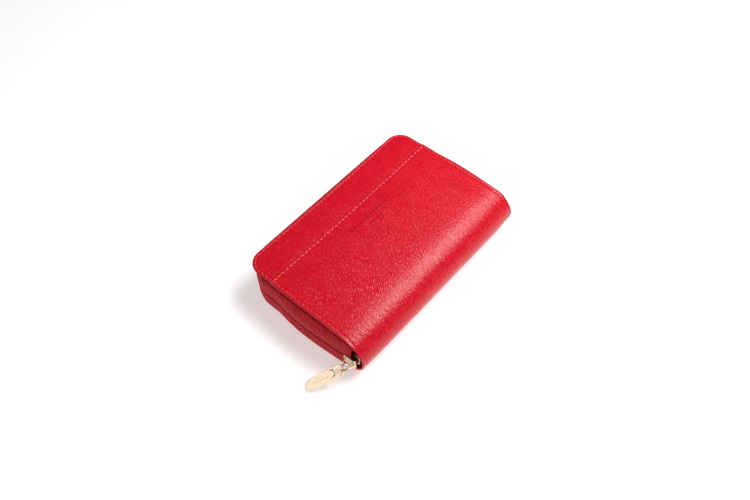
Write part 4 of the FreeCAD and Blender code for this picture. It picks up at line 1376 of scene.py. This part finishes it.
# %% Pocket sides
def side_rows(low, high):
    """A side strip, folded a little inwards along its middle."""
    rows, skin = [], 0.3 * (high.y - low.y)
    middle = (low + high) / 2
    inward = 1 if low.y < 0 else -1
    for x in steps(low.x, high.x, 40):
        fold = 0.9 * MM * inward * ease((x - low.x) / (10 * MM)) * ease((high.x - x) / (10 * MM))
        line = [(fold * hill(t, 0.55), t * (high.z - low.z) / 2) for t in steps(-1, 1, 13)]
        out = [Vector((x, middle.y + shift - skin, middle.z + z)) for shift, z in line]
        back = [Vector((x, middle.y + shift + skin, middle.z + z)) for shift, z in reversed(line)]
        rows.append(out + back)
    return capped(rows)


for end in ("front", "rear"):
    node = "coin_pocket_side_" + end
    riding(node + "_cloth", [side_rows(*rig.box(node))], lining_cloth, "lining_cloth", "spine", node)
print("coin pocket built")

# %% [markdown]
# The coin zip is a coil zip too, with its turns on the inside. Two narrow tapes run straight
# across the mouth. A tape's section is a thin bar that bellies out and thickens at its lip.

# %% Coin zip tapes
COIN_TAPE = [(0.0, 0.0), (-0.12, 0.3), (-0.16, 0.62), (-0.10, 0.9), (0.12, 1.0), (0.4, 0.98), (0.55, 0.86),
             (0.52, 0.6), (0.52, 0.3), (0.56, 0.0)]


def coin_tape(level):
    node = "coin_zip_tape_" + level
    low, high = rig.box(node)
    root, tip = (low.z, high.z) if level == "lower" else (high.z, low.z)
    rows, lay = [], []
    for y in steps(low.y, high.y, 90):
        rows.append([Vector((low.x + (0.16 + 0.72 * u) * MM, y, root + (tip - root) * t))
                     for u, t in COIN_TAPE])
        lay.append([(y, 0.7 * MM * index) for index in range(len(COIN_TAPE))])
    riding(node + "_twill", [rows], tape_cloth, "zip_tape", "spine", node, lay=[lay])
    return high.y - low.y


print("a coin tape's section has %d points" % len(COIN_TAPE))

# %% [markdown]
# Its coils are wound like the main zip's, but round a straight line and from finer thread.

# %% Coin zip coils
def coin_coil(level, wire=0.17 * MM):
    node = "coin_zip_coil_" + level
    low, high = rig.box(node)
    middle = (low + high) / 2
    deep, tall = (high.x - low.x) / 2 - wire, (high.z - low.z) / 2 - wire
    count = int((high.y - low.y) / (1.0 * MM)) * 8
    points = [Vector((middle.x + deep * math.cos(step * math.pi / 4),
                      low.y + wire + (high.y - low.y - 2 * wire) * step / count,
                      middle.z + tall * math.sin(step * math.pi / 4))) for step in range(count + 1)]
    riding(node + "_turns", [tube_rows(points, wire, 5)], nylon, "zip_coil", "spine", node)


for level in ("lower", "upper"):
    coin_long = coin_tape(level)
    coin_coil(level)
print("coin zip %.0f mm long" % (1000 * coin_long))

# %% [markdown]
# The coin slider has two plates with a wedge between them, and two lugs that hold a pin.

# %% Coin slider
low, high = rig.box("coin_slider_body")
pull_low, pull_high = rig.box("coin_zip_pull")
COIN_MID_Y, COIN_HALF = (low.y + high.y) / 2, (high.y - low.y) / 2
COIN_PLATE, COIN_TALL = 0.8 * MM, 2.2 * MM
PIN = Vector(((pull_low.x + pull_high.x) / 2, pull_low.y + 0.5 * MM, MID))


def coin_shape(inset):
    """A rounded shield: u along the zip, v up."""
    def inside(u, v):
        return (abs(u) / (COIN_HALF - inset)) ** 6 + (abs(v) / (COIN_TALL - inset)) ** 4 <= 1
    return inside


def coin_plate(x):
    def place(u, v, w):
        return (x - w, COIN_MID_Y + u, MID + v)

    return bevelled_rows(coin_shape, (0, 0), 6 * MM, COIN_PLATE, 0.2 * MM, place)


outer_x = pull_low.x + (pull_high.x - pull_low.x) / 2 + 1.3 * MM + COIN_PLATE / 2
nets = [coin_plate(outer_x), coin_plate(high.x - COIN_PLATE / 2)]
nets.append(strap_rows([Vector((x, low.y + 1.25 * MM, MID)) for x in steps(outer_x, high.x - 0.3 * MM, 4)],
                       ALONG, 2.2 * MM, 0.4 * MM))
for side in (-1, 1):
    lug = [Vector((x, PIN.y, MID + side * 1.98 * MM)) for x in steps(outer_x, low.x + 0.05 * MM, 5)]
    nets.append(strap_rows(lug, ALONG, 1.4 * MM, 0.6 * MM))
riding("coin_slider", nets, gold, "zip_metal", "coin_slider", "coin_slider_body")
print("coin slider %.1f mm long" % (2000 * COIN_HALF))

# %% [markdown]
# The pull is a flat tab with a round tip, and a round eye at its root turns on the pin.

# %% Coin pull
eye = tube_rows([PIN + UP * z for z in steps(pull_low.z - MID, pull_high.z - MID, 5)], 0.5 * MM, 12)
PULL_LONG = (pull_high.y - PIN.y) / 2


def pull_shape(inset):
    def inside(u, v):
        side = 1.5 * MM - inset
        tip = u - (PULL_LONG - inset - side)
        return abs(u) <= PULL_LONG - inset and abs(v) <= side and (tip < 0 or math.hypot(tip, v) <= side)
    return inside


def pull_place(u, v, w):
    return (PIN.x - w, PIN.y + PULL_LONG + u, MID + v)


PULL_THICK = pull_high.x - pull_low.x - 0.3 * MM
blade = bevelled_rows(pull_shape, (0, 0), 6 * MM, PULL_THICK, 0.16 * MM, pull_place)
riding("coin_pull_tab", [capped(eye), blade], gold, "zip_metal", "coin_pull", "coin_zip_pull")
print("pull %.1f mm long" % (2000 * PULL_LONG))

# %% [markdown]
# ## Inside: gussets
# At each short end a pleated cloth joins a cover to the pocket, so that nothing falls out when
# the wallet is open. It is folded inwards, deeper away from the spine, and the fold opens with
# the cover: its lower edge follows the cover and its upper edge follows the spine.

# %% Gussets
GUSSET_THICK = 0.3 * MM


def gusset_rows(low, high, top):
    """Sections from the spine side outwards; each is a V laid on its side, with a round fold."""
    rows = []
    end = -1 if low.y < 0 else 1
    cover_y = max(abs(low.y), abs(high.y)) - GUSSET_THICK
    deep_y = min(abs(low.y), abs(high.y)) + GUSSET_THICK
    pocket_y = cover_y - 3.2 * MM
    tall = high.z - low.z
    for x in steps(high.x, low.x, 36):
        share = (high.x - x) / (high.x - low.x)
        fold = pocket_y - 1.5 * MM + (deep_y - pocket_y + 1.5 * MM) * share
        line = smooth_line([(cover_y, 0.02), (cover_y * 0.5 + fold * 0.5 + 0.25 * MM, 0.24), (fold, 0.5),
                            (pocket_y * 0.5 + fold * 0.5 + 0.2 * MM, 0.76), (pocket_y, 0.98)], 5)
        loop = line + [(y - GUSSET_THICK, t) for y, t in reversed(line)]
        heights = [low.z + t * tall for _, t in loop]
        rows.append([Vector((x, end * y, THICK - z if top else z)) for (y, _), z in zip(loop, heights)])
    return rows


for cover, body, top in (("back", "back_half", False), ("front", "front_half", True)):
    for end in ("front", "rear"):
        node = "%s_gusset_%s" % (cover, end)
        low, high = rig.box(node)
        if top:
            low, high = Vector((low.x, low.y, THICK - high.z)), Vector((high.x, high.y, THICK - low.z))
        piece = nets_piece(node + "_cloth", [gusset_rows(low, high, top)], ring=True)
        dress(piece, lining_cloth, "lining_cloth", node)
        levels = (THICK - low.z, THICK - high.z) if top else (low.z, high.z)
        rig.blend(piece, body, "spine", start=(0, 0, levels[0]), end=(0, 0, levels[1]))
print("four gussets folded in")

# %% [markdown]
# ## Table, light and camera
# The wallet is shown on a plain white table. The table gives off a little light of its own, so
# that it stays white to the picture's edges while the wallet still throws a soft shadow on it.

# %% Table
def show(thing):
    bpy.context.scene.collection.objects.link(thing)
    return thing


floor_mesh = bpy.data.meshes.new("table_top")
floor_mesh.from_pydata([(x, y, 0.0) for x, y in ((-6, -6), (6, -6), (6, 6), (-6, 6))], [], [(0, 1, 2, 3)])
table_top = show(bpy.data.objects.new("table_top", floor_mesh))
white, white_tree, white_shader = new_finish("white table", Roughness=0.7, Specular_IOR_Level=0.2)
fleck = add_node(white_tree, "TexNoise", {"Scale": 40.0})
table_white = blend_colours(white_tree, fleck.outputs[0], (0.93, 0.93, 0.935), (0.95, 0.95, 0.95))
white_tree.links.new(table_white, white_shader.inputs["Base Color"])
white_shader.inputs["Emission Color"].default_value = (1.0, 1.0, 1.0, 1.0)
white_shader.inputs["Emission Strength"].default_value = 0.40
floor_mesh.materials.append(white)
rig.stage(table_top)
print("table %.0f m wide" % table_top.dimensions.x)

# %% [markdown]
# A large soft panel above, to the right and behind draws the long highlight on the spine and
# throws the shadow to the left. The panel on the left stands where the gold tag mirrors it,
# and a wide, low one lights the zip from the front. A pale world fills the rest.

# %% Lights
CENTRE = Vector(((ZIP_EDGE + SPINE_FACE) / 2, 0, MID / 2))


def soft_panel(name, way, distance, size, watts, tint=(1.0, 1.0, 1.0)):
    lamp = bpy.data.lights.new(name, "AREA")
    lamp.shape = "RECTANGLE"
    lamp.size, lamp.size_y = size
    lamp.energy = watts
    lamp.color = tint
    panel = show(bpy.data.objects.new(name, lamp))
    way = Vector(way).normalized()
    panel.location = CENTRE + way * distance
    panel.rotation_mode = "QUATERNION"
    panel.rotation_quaternion = way.to_track_quat("Z", "Y")


soft_panel("key panel", (0.27, 0.43, 0.86), 0.47, (0.37, 0.24), 2.6)
soft_panel("left panel", (-0.775, -0.415, 0.485), 1.0, (0.6, 0.4), 0.98, (1.0, 0.98, 0.95))
soft_panel("front panel", (-0.10, -0.93, 0.36), 1.1, (1.2, 0.5), 3.3)
world = bpy.data.worlds.new("pale room")
world.use_nodes = True
background = world.node_tree.nodes["Background"]
background.inputs["Color"].default_value = (1.0, 1.0, 1.0, 1.0)
background.inputs["Strength"].default_value = 0.10
bpy.context.scene.world = world
bpy.context.scene.view_settings.view_transform = "Standard"
print("lights:", ", ".join(lamp.name for lamp in bpy.data.lights))

# %% [markdown]
# The camera stands to the right of the zip end and looks down at about 55 degrees, from under
# half a metre, through a lens a little longer than its sensor is wide. A small roll lays the
# wallet across the picture on its long diagonal.

# %% Camera
ROLL = math.radians(-1.89)
lens = bpy.data.cameras.new("camera")
lens.lens, lens.sensor_width = 38.30, 36.0
lens.clip_start, lens.clip_end = 0.01, 30.0
camera = show(bpy.data.objects.new("camera", lens))
camera.location = (0.1753, -0.1986, 0.3791)
look = Vector((-0.0069, 0.0009, 0.0)) - camera.location
turn = look.to_track_quat("-Z", "Y").to_matrix().to_4x4()
camera.matrix_world = Matrix.Translation(camera.location) @ turn @ Matrix.Rotation(ROLL, 4, "Z")
bpy.context.scene.camera = camera
print("camera %.2f m away" % look.length)

# %% Write the sizes and finish
shown_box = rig.bounds()
sizes = {"solid": [list(corner) for corner in solid_box], "shown": [list(corner) for corner in shown_box]}
with open("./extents.json", "w") as size_file:
    json.dump(sizes, size_file)
print("solid and shown size, mm:", *[[round(1000 * (b - a), 1) for a, b in zip(*box)]
                                     for box in (solid_box, shown_box)])
